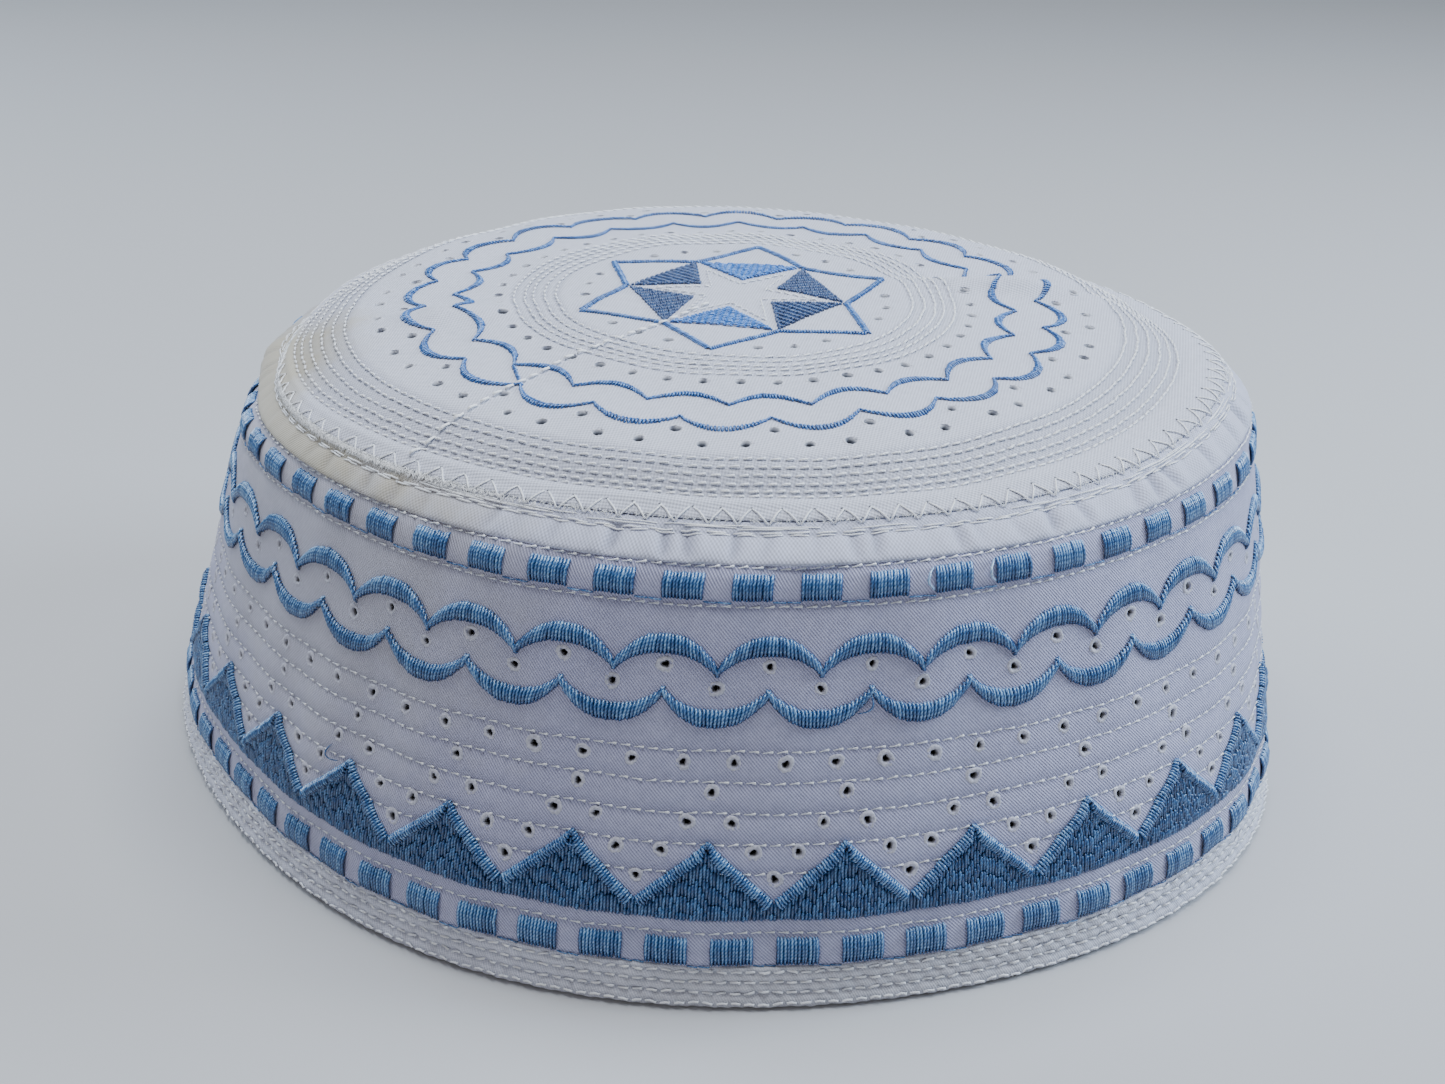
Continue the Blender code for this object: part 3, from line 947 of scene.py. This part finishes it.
# The wall's cotton, coloured lighter than on the wall and tinted blue: painted light and painted cool light
# on the hem.
hem_cotton = Cotton(
    light=(0.90, 0.91, 1.0),
    dark=(0.56, 0.58, 0.71),
    pitch=0.0005,
    turn=0.3,
    twill=0.6,
    relief=0.00006,
    soil=(0.56, 0.54, 0.50),
    spot=(-0.06, -0.06, 0.0),
    reach=0.05,
    weight=0.3,
)
hem_cloth = wrap_cloth("hem_cloth", 900, len(hem_cut) - 1, lay_hem)
hem_cloth.data.materials.append(cotton_material("hem_cotton", hem_cotton))
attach(hem_cloth, "root")
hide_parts("hem")


def on_hem(share, height):
    """Points on the hem's outer face and the way out of it there."""
    out = wall_out(share, height + 0.1)
    depth = np.interp(height, *np.array(hem_outer_cut[::-1]).T)
    return wall_face(share, height) + out * (hem_relief(share, height) - depth), out


hem_rows = [row_of_stitches(height, girth, 50 + row, 0.12) for row, height in enumerate(hem_stitch_rows)]
sew("hem_stitching", join(*hem_rows), on_hem, running_stitch, 0.44, 0.40, 55, white_thread)

# The gathered strip
# The narrow top edge of the side, eased into small pleats between the wall's top row of
# stitches and the crown's edge, under which its inner margin is tucked. Its cut is a list of
# places along the rings and depths under the face.
gathers = 92
strip_outer_cut = [
    (3.065, 0.10), (3.12, -0.06), (3.25, -0.14), (3.42, -0.20), (3.60, -0.20), (3.78, -0.16), (3.92, -0.08),
    (4.02, 0.02), (4.07, 0.08), (4.12, 0.02), (4.20, -0.02), (4.36, -0.02), (4.54, 0.02),
]
strip_inner_cut = [
    (4.66, 0.30), (4.76, 0.95), (4.88, 1.75), (5.04, 2.35), (5.18, 2.45), (5.20, 3.00), (5.18, 3.60),
    (4.80, 3.50), (4.30, 2.90), (3.90, 2.35), (3.40, 2.05), (3.10, 1.95), (3.06, 1.60), (3.055, 0.85),
]
strip_cut = np.array([(3.055, 0.85), (3.050, 0.45)] + strip_outer_cut + strip_inner_cut)
ring_step = 3.4
strip_cut_length = length_along(strip_cut * np.array([ring_step, 1.0]))
gather_draw = np.random.default_rng(61)
fold_turns = (np.arange(gathers) + gather_draw.uniform(-0.28, 0.28, gathers)) * 360 / gathers
fold_sizes = gather_draw.uniform(0.05, 1.0, gathers)
fold_leans = gather_draw.uniform(-1.2, 1.2, gathers)
fold_hands = gather_draw.choice([-1, 1], gathers)


def strip_folds(turn, place):
    """How sunk the strip's fold lines are, and how far the cloth swells to one side of each."""
    way_up = np.clip((place - 3.06) / (4.34 - 3.06), 0, 1)
    on_left = bell((turn - 140 + 180) % 360 - 180, 34)
    fade = np.sin(math.pi * way_up) ** 0.8 * (1 - 0.6 * on_left)
    sunk = np.zeros(np.shape(turn))
    swell = np.zeros(np.shape(turn))
    for fold, size, lean, hand in zip(fold_turns, fold_sizes, fold_leans, fold_hands):
        off = (turn - fold - lean * (place - 3.7) + 180) % 360 - 180
        sunk += size * bell(off, 0.60)
        swell += size * bell(off * hand - 1.5, 1.0)
    return sunk * fade, swell * fade


def strip_relief(turn, place):
    """How far the pleated strip stands off its smooth form, in millimetres."""
    sunk, swell = strip_folds(turn, place)
    return 0.34 * swell - 0.80 * sunk + 0.06 * np.cos(np.radians(turn * 97)) * (place < 4.3)


def ring_out(turn, place):
    return way_out(outer_face, turn, place, 0.1, 0.02)


def lay_strip(share, row):
    turn = share * 360
    place, depth = strip_cut[row].T
    relief = np.where((depth < 0.6) & (place < 4.6), strip_relief(turn, place), 0.0)
    points = outer_face(turn, place) + ring_out(turn, place) * (relief - depth)
    # Painted shade in the fold lines and along the strip's stitching.
    sunk, swell = strip_folds(turn, place)
    groove_shade = np.where(depth < 0.6, 0.9 * sunk + 0.3 * bell(place - 4.08, 0.07), 0.0)
    return points, np.array([share * 500.0, strip_cut_length[row]]), groove_shade


# The wall's cotton, coloured a little lighter than on the wall and tinted blue: painted light and painted
# cool light on the strip.
strip_cotton = Cotton(
    light=(0.66, 0.69, 0.86),
    dark=(0.44, 0.45, 0.55),
    pitch=0.00060,
    turn=0.0,
    twill=0.15,
    relief=0.00008,
    soil=(0.48, 0.43, 0.31),
    spot=shoulder_spot,
    reach=0.062,
    weight=0.85,
)
strip_cloth = wrap_cloth("gathered_strip_cloth", 720, len(strip_cut) - 1, lay_strip)
strip_cloth.data.materials.append(cotton_material("strip_cotton", strip_cotton))
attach(strip_cloth, "root")
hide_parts("gathered_strip")


def on_strip(turn, place):
    """Points on the strip's outer face and the way out of it there."""
    out = ring_out(turn, place)
    depth = np.interp(place, *np.array(strip_outer_cut).T)
    return outer_face(turn, place) + out * (strip_relief(turn, place) - depth), out


def closed_row(length, seed, wander):
    """The turns where the stitches of a closed ring start and end, and how far each strays."""
    edges, stray = row_edges(length, seed, wander)
    turns = edges * 360
    turns[-1] = turns[0] + 360
    slip = 36 / (len(turns) - 1)
    return (turns[:-1] + slip, stray[:-1]), (turns[1:] - slip, stray[1:])


def ring_of_stitches(place, length, seed, wander):
    """Running stitches round the cap at a place along the rings."""
    return tuple(np.array([turns, place + stray]) for turns, stray in closed_row(length, seed, wander))


long_stitch = Stitch(
    shares=np.array([0.0, 0.06, 0.35, 0.65, 0.94, 1.0]),
    lifts=np.array([-0.25, 0.08, 0.16, 0.16, 0.08, -0.25]),
    widths=np.array([0.0, 0.9, 1.0, 1.0, 0.9, 0.0]),
    wobble=0.04,
)
strip_pair = join(ring_of_stitches(4.04, 250, 62, 0.02), ring_of_stitches(4.14, 240, 63, 0.02))
sew("strip_stitching", strip_pair, on_strip, long_stitch, 0.30, 0.26, 64, white_thread)

# The crown
# A disc of white ribbed cotton in two layers, quilted in rings. It is nearly flat in the middle
# and slopes to a raw edge that lies on the strip.
crown_cloth = 2.0
crown_edge = 4.64
crown_step = 0.16
Circle = namedtuple("Circle", "x y")
garland_middle = Circle(1.93, -3.71)
star_middle = Circle(1.35, -4.21)
crease_spot = Circle(34.2, -40.7)
crease_way = math.radians(33)
inner_quilting = (29.7, 31.6, 33.5, 34.9, 36.7)
outer_quilting = (6.0, 6.2, 6.4, 6.6, 6.8, 7.0)
crown_waves = [
    (
        wrinkle_draw.uniform(-0.045, 0.045),
        wrinkle_draw.uniform(-0.045, 0.045),
        wrinkle_draw.uniform(0.02, 0.10),
        wrinkle_draw.uniform(0, 2 * math.pi),
    )
    for count in range(14)
]


def crown_grooves(points, place):
    """How deep the crown's rings of stitches are sunk, from 0 to about 1."""
    reach = np.hypot(points[0] - garland_middle.x, points[1] - garland_middle.y)
    inner = sum(bell(reach - ring_radius, 0.5) for ring_radius in inner_quilting)
    return inner + sum(bell(place - line, 0.075) for line in outer_quilting)


def crown_relief(points, place):
    """How far the quilted crown stands off its smooth form, in millimetres."""
    relief = -0.34 * crown_grooves(points, place) + 0.22 * bell(place - 5.55, 0.28)
    off_edge = np.clip((place - crown_edge) / 0.8, 0, 1)
    for wave_x, wave_y, size, start in crown_waves:
        relief += off_edge * size * np.cos(2 * math.pi * (wave_x * points[0] + wave_y * points[1]) + start)
    off_x = points[0] - crease_spot.x
    off_y = points[1] - crease_spot.y
    past = off_x * math.cos(crease_way) + off_y * math.sin(crease_way)
    beside_it = off_y * math.cos(crease_way) - off_x * math.sin(crease_way)
    return relief + bell(beside_it, 14.0) * (1.4 * bell(past, 3.0) - 2.3 * bell(past - 6.2, 3.9))


def on_crown_ring(turn, place):
    """Points on the quilted crown and the way out of it, at turns and places along the rings."""
    points = outer_face(turn, place)
    out = ring_out(turn, np.minimum(place, last_place - 0.08))
    out = np.where(place > last_place - 0.05, np.array([[0.0], [0.0], [1.0]]), out)
    return points + out * (crown_relief(points, place) + crown_step), out


crown_rows = 122
probe_turn = 230.0
probe_places = np.linspace(crown_edge, last_place, 1200)
probe_steps = np.linalg.norm(np.diff(outer_face(probe_turn, probe_places)), axis=0)
probe_length = np.concatenate([[0], np.cumsum(probe_steps)])
crown_places = np.interp(np.linspace(0, probe_length[-1], crown_rows), probe_length, probe_places)
crown_cut = np.array(
    [(place, crown_cloth) for place in (last_place, *np.arange(10.5, 5.4, -0.5))]
    + [(5.2, 1.9), (5.0, 1.45), (4.86, 0.95), (4.76, 0.45), (4.68, 0.12), (4.64, 0.02), (4.625, -0.04)]
    + [(place, 0.0) for place in crown_places]
)


def lay_crown(share, row):
    place, depth = crown_cut[row].T
    turn = np.where(place > last_place - 0.001, 0.0, share * 360)
    face, out = on_crown_ring(turn, place)
    is_outer = row >= len(crown_cut) - crown_rows
    points = np.where(is_outer, face, outer_face(turn, place) - out * depth)
    # The last value is painted shade in the quilted grooves.
    return points, points[:2], np.where(is_outer, 0.6 * crown_grooves(face, place), 0.0)


crown_cotton = Cotton(
    light=(0.75, 0.77, 0.87),
    dark=(0.44, 0.45, 0.54),
    pitch=0.00066,
    turn=math.radians(28),
    twill=0.0,
    relief=0.00008,
    soil=(0.50, 0.45, 0.33),
    spot=(-0.048, 0.057, 0.066),
    reach=0.023,
    weight=0.85,
)
crown_cloth_piece = wrap_cloth("crown_panel_cloth", 440, len(crown_cut) - 1, lay_crown)
crown_cloth_piece.data.materials.append(cotton_material("crown_cotton", crown_cotton))
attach(crown_cloth_piece, "root")
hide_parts("crown_panel")


def crown_spot(x, y):
    """The turn and the place along the rings of a point of the crown seen from above."""
    place = np.interp(-np.hypot(x, y), -ring_value("radius", place_steps), place_steps)
    for step in range(8):
        centre = np.array([ring_value("middle_x", place) + stand_x, ring_value("middle_y", place) + stand_y])
        off = np.array([x, y]) - centre
        turn = np.degrees(np.arctan2(off[1], off[0]))
        near = (place, np.minimum(place + 0.01, last_place), place - 0.01)
        reach, ahead, behind = [np.hypot(*(outer_face(turn, one)[:2] - centre)) for one in near]
        move = (reach - np.hypot(*off)) * (near[1] - near[2]) / (ahead - behind)
        place = np.clip(place - move, crown_edge, last_place - 0.001)
    return turn, place


def on_crown(x, y):
    """Points on the quilted crown and the way out of it, at places seen from above."""
    return on_crown_ring(*crown_spot(x, y))


def round_spots(middle, radius, turns):
    turns = np.radians(turns)
    return np.array([middle.x + radius * np.cos(turns), middle.y + radius * np.sin(turns)])


# The crown's eyelets
# The same needle holes as the wall's: outside each cusp of the outer garland, in pairs beyond
# it, in a ring inside the garlands, and three in each gap between two tips of the star.
scallop_turn = 15.0
by_scallop = scallop_turn * np.arange(24)
gap_turns = (229.7 + 60.0 * np.arange(6)[:, None] + np.array([-13.5, 0.0, 13.5])).ravel()
crown_eyelet_spots = np.concatenate(
    [
        round_spots(garland_middle, 54.9, 199.4 + by_scallop),
        round_spots(garland_middle, 59.0, np.concatenate([206.9 + by_scallop - 3, 206.9 + by_scallop + 3])),
        round_spots(garland_middle, 39.4, 209.6 + 8.1818 * np.arange(44)),
        round_spots(star_middle, 25.0, gap_turns),
    ],
    axis=1,
)
crown_eyelet_profile = [
    (1.26, -0.14), (1.14, 0.00), (1.00, 0.03), (0.84, -0.10), (0.66, -0.55), (0.30, -0.95), (0.95, -0.80)
]
crown_eyelets = eyelets(
    "crown_eyelets",
    crown_cloth_piece,
    0.92,
    *on_crown(*crown_eyelet_spots),
    crown_eyelet_profile,
    71,
    # The last colour is painted shade down the holes.
    eyelet_material("crown_eyelet_cotton", (0.80, 0.81, 0.87), (0.48, 0.49, 0.56), (0.12, 0.13, 0.16)),
)
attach(crown_eyelets, "root")

# The crown's blue embroidery
# Two garlands of 24 scallops that face each other, and a six-pointed star with filled triangles
# round a small white star: the garlands and outline in one blue thread, and the triangles in a lit
# and a shaded copy of one thread, painted sheen on two of them and painted shade on the other four.
crown_satin = Stitch(
    satin_stitch.shares, np.array([-0.3, 0.10, 0.28, 0.28, 0.10, -0.3]), satin_stitch.widths, 0.03
)
threads_per_scallop = 26


def crown_garland(first_turn, cusp_radius, bulge, half_width, side, seed):
    """Satin threads across each scallop between two cusps. Side is 1 where they bulge outwards."""
    across = (np.arange(threads_per_scallop) + 0.5) / threads_per_scallop * 2 - 1
    turns = first_turn + scallop_turn / 2 + by_scallop[:, None] + scallop_turn / 2 * across
    level = cusp_radius + side * bulge * (1 - across ** 2)
    half = 0.35 + (half_width - 0.35) * (1 - across ** 2) ** 0.8
    jitter = np.random.default_rng(seed).normal(0, 0.05, (2, *turns.shape))
    splay = np.degrees(0.35 * across / cusp_radius) * side
    inner = round_spots(garland_middle, level - half + jitter[0], turns + splay)
    outer = round_spots(garland_middle, level + half + jitter[1], turns - splay)
    return inner.reshape(2, -1), outer.reshape(2, -1)


crown_thread = thread_material(
    "crown_blue_thread", (0.006, 0.030, 0.13), (0.032, 0.150, 0.46), (0.27, 0.52, 0.95), 0.28, 0.0011, 0.45
)
# The star's triangles are one thread in two copies: painted shade on the four darker ones and painted sheen
# on the two lighter ones, whose threads meet the light at another angle.
shaded_star_thread = thread_material(
    "shaded_star_blue_thread", (0.005, 0.014, 0.05), (0.017, 0.055, 0.185), (0.08, 0.18, 0.40), 0.36, 0.0009, 0.32
)
lit_star_thread = thread_material(
    "lit_star_blue_thread", (0.02, 0.08, 0.26), (0.045, 0.22, 0.68), (0.22, 0.49, 0.95), 0.28, 0.0009, 0.50
)
crown_pair = join(crown_garland(207.4, 47.0, 3.2, 0.72, -1, 72), crown_garland(199.4, 51.2, 3.5, 0.82, 1, 73))
sew("crown_garlands", crown_pair, on_crown, crown_satin, 0.46, 0.36, 74, crown_thread)

tip_radius = 27.0
corner_radius = 18.5
inner_radius = 7.5
tip_turns = 199.7 + 60.0 * np.arange(6)


def star_lines(tips, corners):
    """The two lines at each of a star's tips, given the radius of its tips and its corners."""
    lines = []
    for turn in tip_turns:
        tip = round_spots(star_middle, tips, turn)
        lines.append((round_spots(star_middle, corners, turn - 30), tip))
        lines.append((tip, round_spots(star_middle, corners, turn + 30)))
    return lines


def line_threads(lines, width, spacing, seed):
    """Short satin threads across straight lines, given by their two ends."""
    draw = np.random.default_rng(seed)
    pairs = []
    for line_start, line_end in lines:
        length = np.hypot(*(line_end - line_start))
        run = ((line_end - line_start) / length)[:, None]
        aside = np.array([-run[1], run[0]])
        spots = np.arange(0.5 * spacing, length, spacing)
        centres = line_start[:, None] + run * spots
        half = width / 2 * (1 + draw.normal(0, 0.13, len(spots)))
        pairs.append((centres - aside * half - run * 0.25, centres + aside * half + run * 0.25))
    return join(*pairs)


outline_pair = line_threads(star_lines(tip_radius, corner_radius), 1.1, 0.46, 75)
sew("star_outline", outline_pair, on_crown, crown_satin, 0.46, 0.34, 76, crown_thread)


def star_triangle(tip_turn, brick, offset, seed):
    """Threads that fill one triangle of the star, side by side from its base to its point."""
    draw = np.random.default_rng(seed)
    left = round_spots(star_middle, corner_radius - 0.5, tip_turn - 29.3)
    right = round_spots(star_middle, corner_radius - 0.5, tip_turn + 29.3)
    point = round_spots(star_middle, inner_radius, tip_turn)
    rows = 24
    starts = []
    ends = []
    for row in range(rows):
        share = (row + 0.5) / rows
        row_start = left + (point - left) * share
        row_way = right + (point - right) * share - row_start
        from_middle = np.arange(-10, 11) * brick + (row % 2) * offset * brick
        cuts = 0.5 + from_middle / max(np.hypot(*row_way), 0.1)
        cuts = np.concatenate([[0], cuts[(cuts > 0.04) & (cuts < 0.96)], [1]])
        for first, last in zip(cuts[:-1], cuts[1:]):
            jitter = draw.normal(0, 0.05, (2, 2))
            starts.append(row_start + row_way * first + jitter[0])
            ends.append(row_start + row_way * last + jitter[1])
    return np.array(starts).T, np.array(ends).T


short_satin = Stitch(
    shares=np.array([0.0, 0.16, 0.36, 0.64, 0.84, 1.0]),
    lifts=np.array([-0.36, 0.02, 0.32, 0.32, 0.02, -0.36]),
    widths=np.array([0.0, 0.60, 1.0, 1.0, 0.60, 0.0]),
    wobble=0.03,
)
# The two triangles that catch the light take the lit copy, the other four the shaded one.
lit_turns = enumerate(tip_turns[[0, 3]])
shaded_turns = enumerate(tip_turns[[1, 2, 4, 5]])
lit_pair = join(*[star_triangle(turn, 2.2, 0.5, 80 + number) for number, turn in lit_turns])
shaded_pair = join(*[star_triangle(turn, 1.3, 0.0, 84 + number) for number, turn in shaded_turns])
sew("star_lit_triangles", lit_pair, on_crown, short_satin, 0.52, 0.38, 90, lit_star_thread)
sew("star_shaded_triangles", shaded_pair, on_crown, short_satin, 0.50, 0.38, 91, shaded_star_thread)

link_line = (np.array([-43.3, 10.3]), np.array([-48.4, 5.6]))
link_pair = line_threads([link_line], 0.6, 0.5, 77)
sew("garland_link", link_pair, on_crown, crown_satin, 0.42, 0.3, 78, crown_thread)

# The crown's white stitching
# White sewing thread: rings of quilting inside and outside the garlands, a zigzag that holds the
# crown's raw, frayed edge down on the strip, a basting thread and the small star's outline.


def circle_of_stitches(radius, seed):
    row = closed_row(2 * math.pi * radius, seed, 0.06)
    return tuple(round_spots(garland_middle, radius + stray, turns) for turns, stray in row)


raised_stitch = running_stitch._replace(lifts=running_stitch.lifts + 0.11, gleam=0.8)
inner_pair = join(*[circle_of_stitches(radius, 92 + row) for row, radius in enumerate(inner_quilting)])
sew("inner_quilting", inner_pair, on_crown, raised_stitch, 0.44, 0.36, 99, white_thread)
outer_lengths = np.interp(outer_quilting, (6, 7), (445.8, 401.0))
outer_rings = zip(outer_quilting, outer_lengths, range(100, 106))
outer_pair = join(*[ring_of_stitches(place, length, seed, 0.008) for place, length, seed in outer_rings])
sew("outer_quilting", outer_pair, on_crown_ring, raised_stitch, 0.46, 0.38, 109, white_thread)

zigzags = 106
zigzag_first = 2.4
zigzag_strays = np.random.default_rng(110).normal(0, 0.05, zigzags)
inner_turns = zigzag_first + (np.arange(zigzags) + zigzag_strays) * 360 / zigzags
inner_tips = np.array([inner_turns, np.full(zigzags, 5.22)])
outer_tips = np.array([inner_turns + 180 / zigzags, np.full(zigzags, 4.43)])
next_tips = inner_tips + np.array([[360 / zigzags], [0.0]])
zigzag_pair = join((inner_tips, outer_tips), (outer_tips, next_tips))
sew(
    "zigzag_stitching", zigzag_pair, on_crown_ring, long_stitch, 0.32, 0.30, 111, white_thread
)

edge_draw = np.random.default_rng(112)
edge_count = 110
edge_turns = np.sort(edge_draw.uniform(0, 360, edge_count))
edge_level = edge_draw.choice([4.27, 4.33, 4.38], edge_count) + edge_draw.normal(0, 0.012, edge_count)
edge_spans = edge_draw.uniform(3.5, 8.0, edge_count)
edge_start = np.array([edge_turns, edge_level])
edge_pair = (edge_start, edge_start + np.array([edge_spans, edge_draw.normal(0, 0.02, edge_count)]))
sew("edge_threads", edge_pair, on_strip, long_stitch, 0.22, 0.18, 113, white_thread)

# Painted shade: small dark grey marks at the zigzag's inner tips stand for the shade in its needle holes.
needle_shade_thread = thread_material(
    "needle_hole_shade", (0.10, 0.10, 0.11), (0.16, 0.16, 0.18), (0.22, 0.22, 0.24), 0.9, 0.0007, 0.1
)
hole_spots = np.array([inner_turns, np.full(zigzags, 5.23)])
hole_reach = np.array([[0.0], [0.055]])
hole_pair = (hole_spots - hole_reach, hole_spots + hole_reach)
pinch = Stitch(np.array([0.0, 0.5, 1.0]), np.array([-0.02, 0.07, -0.02]), np.array([0.4, 1.0, 0.4]), 0.02)
sew("needle_hole_shades", hole_pair, on_crown_ring, pinch, 0.5, 0.1, 117, needle_shade_thread)

fray_thread = thread_material(
    "frayed_cotton", (0.88, 0.89, 0.93), (0.97, 0.98, 1.0), (1.0, 1.0, 1.0), 0.6, 0.0007, 0.05
)
fray_count = 4200
on_left = edge_draw.uniform(0, 1, fray_count) < 0.6
fray_turns = np.where(on_left, edge_draw.normal(154, 15, fray_count), edge_draw.uniform(0, 360, fray_count))
fray_start = np.array([fray_turns, edge_draw.uniform(4.60, 4.76, fray_count)])
fray_length = edge_draw.uniform(0.05, 0.25, fray_count) * np.where(on_left, 2.0, 1.0)
fray_pair = (fray_start, fray_start + np.array([edge_draw.normal(0, 0.6, fray_count), -fray_length]))
fibre = Stitch(np.array([0.0, 0.5, 1.0]), np.array([0.05, 0.16, 0.08]), np.array([0.6, 1.0, 0.3]), 0.05)
sew("frayed_fibres", fray_pair, on_crown_ring, fibre, 0.10, 0.07, 116, fray_thread)

basting_x = (-6.0, -17.0, -27.6, -38.7, -52.6, -60.0, -63.2, -68.6)
basting_y = (-3.2, -1.1, 0.8, 4.4, 6.9, 8.4, 9.6, 11.6)
basting = np.array([basting_x, basting_y]).T
basting_length = length_along(basting)
basting_edges = np.arange(0, basting_length[-1], 2.6)


def along_basting(length):
    return np.array([np.interp(length, basting_length, axis) for axis in basting.T])


basting_pair = (along_basting(basting_edges), along_basting(basting_edges + 2.1))
basting_stitch = Stitch(running_stitch.shares, running_stitch.lifts + 0.24, running_stitch.widths, 0.05)
sew("basting_thread", basting_pair, on_crown, basting_stitch, 0.60, 0.46, 114, fray_thread)


def line_stitches(lines, pitch, gap):
    """Running stitches along straight lines, given by their two ends."""
    pairs = []
    for line_start, line_end in lines:
        run = line_end - line_start
        length = np.hypot(*run)
        edges = np.arange(0, length - pitch / 2, pitch) / length
        starts = line_start[:, None] + run[:, None] * edges
        pairs.append((starts, starts + run[:, None] * (pitch - gap) / length))
    return join(*pairs)


star_pair = line_stitches(star_lines(inner_radius * 0.70, corner_radius * 0.74), 1.6, 0.3)
sew(
    "small_star_stitching", star_pair, on_crown, running_stitch, 0.34, 0.28, 115, white_thread
)

# The floor, the light and the camera
# A plain pale floor under soft studio light, seen from the photograph's viewpoint.
floor_work = bmesh.new()
bmesh.ops.create_grid(floor_work, x_segments=1, y_segments=1, size=3.0)
floor = show("floor", mesh_from("floor", floor_work))
floor_paint, floor_shader = new_material("pale_floor")
floor_shader.inputs["Base Color"].default_value = (0.54, 0.54, 0.55, 1)
floor_shader.inputs["Roughness"].default_value = 0.6
floor.data.materials.append(floor_paint)

world = bpy.data.worlds.new("studio")
bpy.context.scene.world = world
world.use_nodes = True
world.node_tree.nodes["Background"].inputs["Color"].default_value = (0.76, 0.79, 0.86, 1)
world.node_tree.nodes["Background"].inputs["Strength"].default_value = 0.16

eye = Vector((-306.73, -166.80, 188.12)) * MM
pitch = 0.4178
roll = 0.0261
yaw = 0.0348
turning = Matrix.Rotation(-math.radians(60), 3, "Z")
forward = Vector((math.sin(yaw) * math.cos(pitch), math.cos(yaw) * math.cos(pitch), -math.sin(pitch)))
right = Vector((math.cos(yaw), -math.sin(yaw), 0))
up = right.cross(forward)
view_right = turning @ (math.cos(roll) * right + math.sin(roll) * up)
view_up = turning @ (math.cos(roll) * up - math.sin(roll) * right)
view_ahead = turning @ Vector((forward.x, forward.y, 0)).normalized()
camera_data = bpy.data.cameras.new("camera")
camera_data.sensor_width = 36.0
camera_data.lens = 54.33
camera_data.clip_start = 0.01
camera = show("camera", camera_data)
axes = Matrix([view_right, view_up, turning @ -forward]).transposed()
camera.matrix_world = Matrix.Translation(eye) @ axes.to_4x4()
bpy.context.scene.camera = camera

Lamp = namedtuple("Lamp", "name aside ahead up size power colour")
lamps = [
    Lamp("ceiling", 0.05, 0.02, 0.85, 0.55, 9.5, (0.87, 0.93, 1.0)),
    Lamp("window", 0.75, 0.10, 0.40, 0.40, 7.4, (0.69, 0.83, 1.0)),
    Lamp("far window", -0.70, 0.45, 0.40, 0.40, 3.9, (0.72, 0.85, 1.0)),
    Lamp("fill", -0.50, -0.75, 0.30, 0.60, 0.8, (1.0, 0.90, 0.80)),
]
for lamp in lamps:
    light_data = bpy.data.lights.new(lamp.name, "AREA")
    light_data.size = lamp.size
    light_data.energy = lamp.power
    light_data.color = lamp.colour
    light = show(lamp.name, light_data)
    light.location = view_right * lamp.aside + view_ahead * lamp.ahead + Vector((0, 0, lamp.up))
    light.rotation_euler = (Vector((0, 0, 0.04)) - light.location).to_track_quat("-Z", "Y").to_euler()
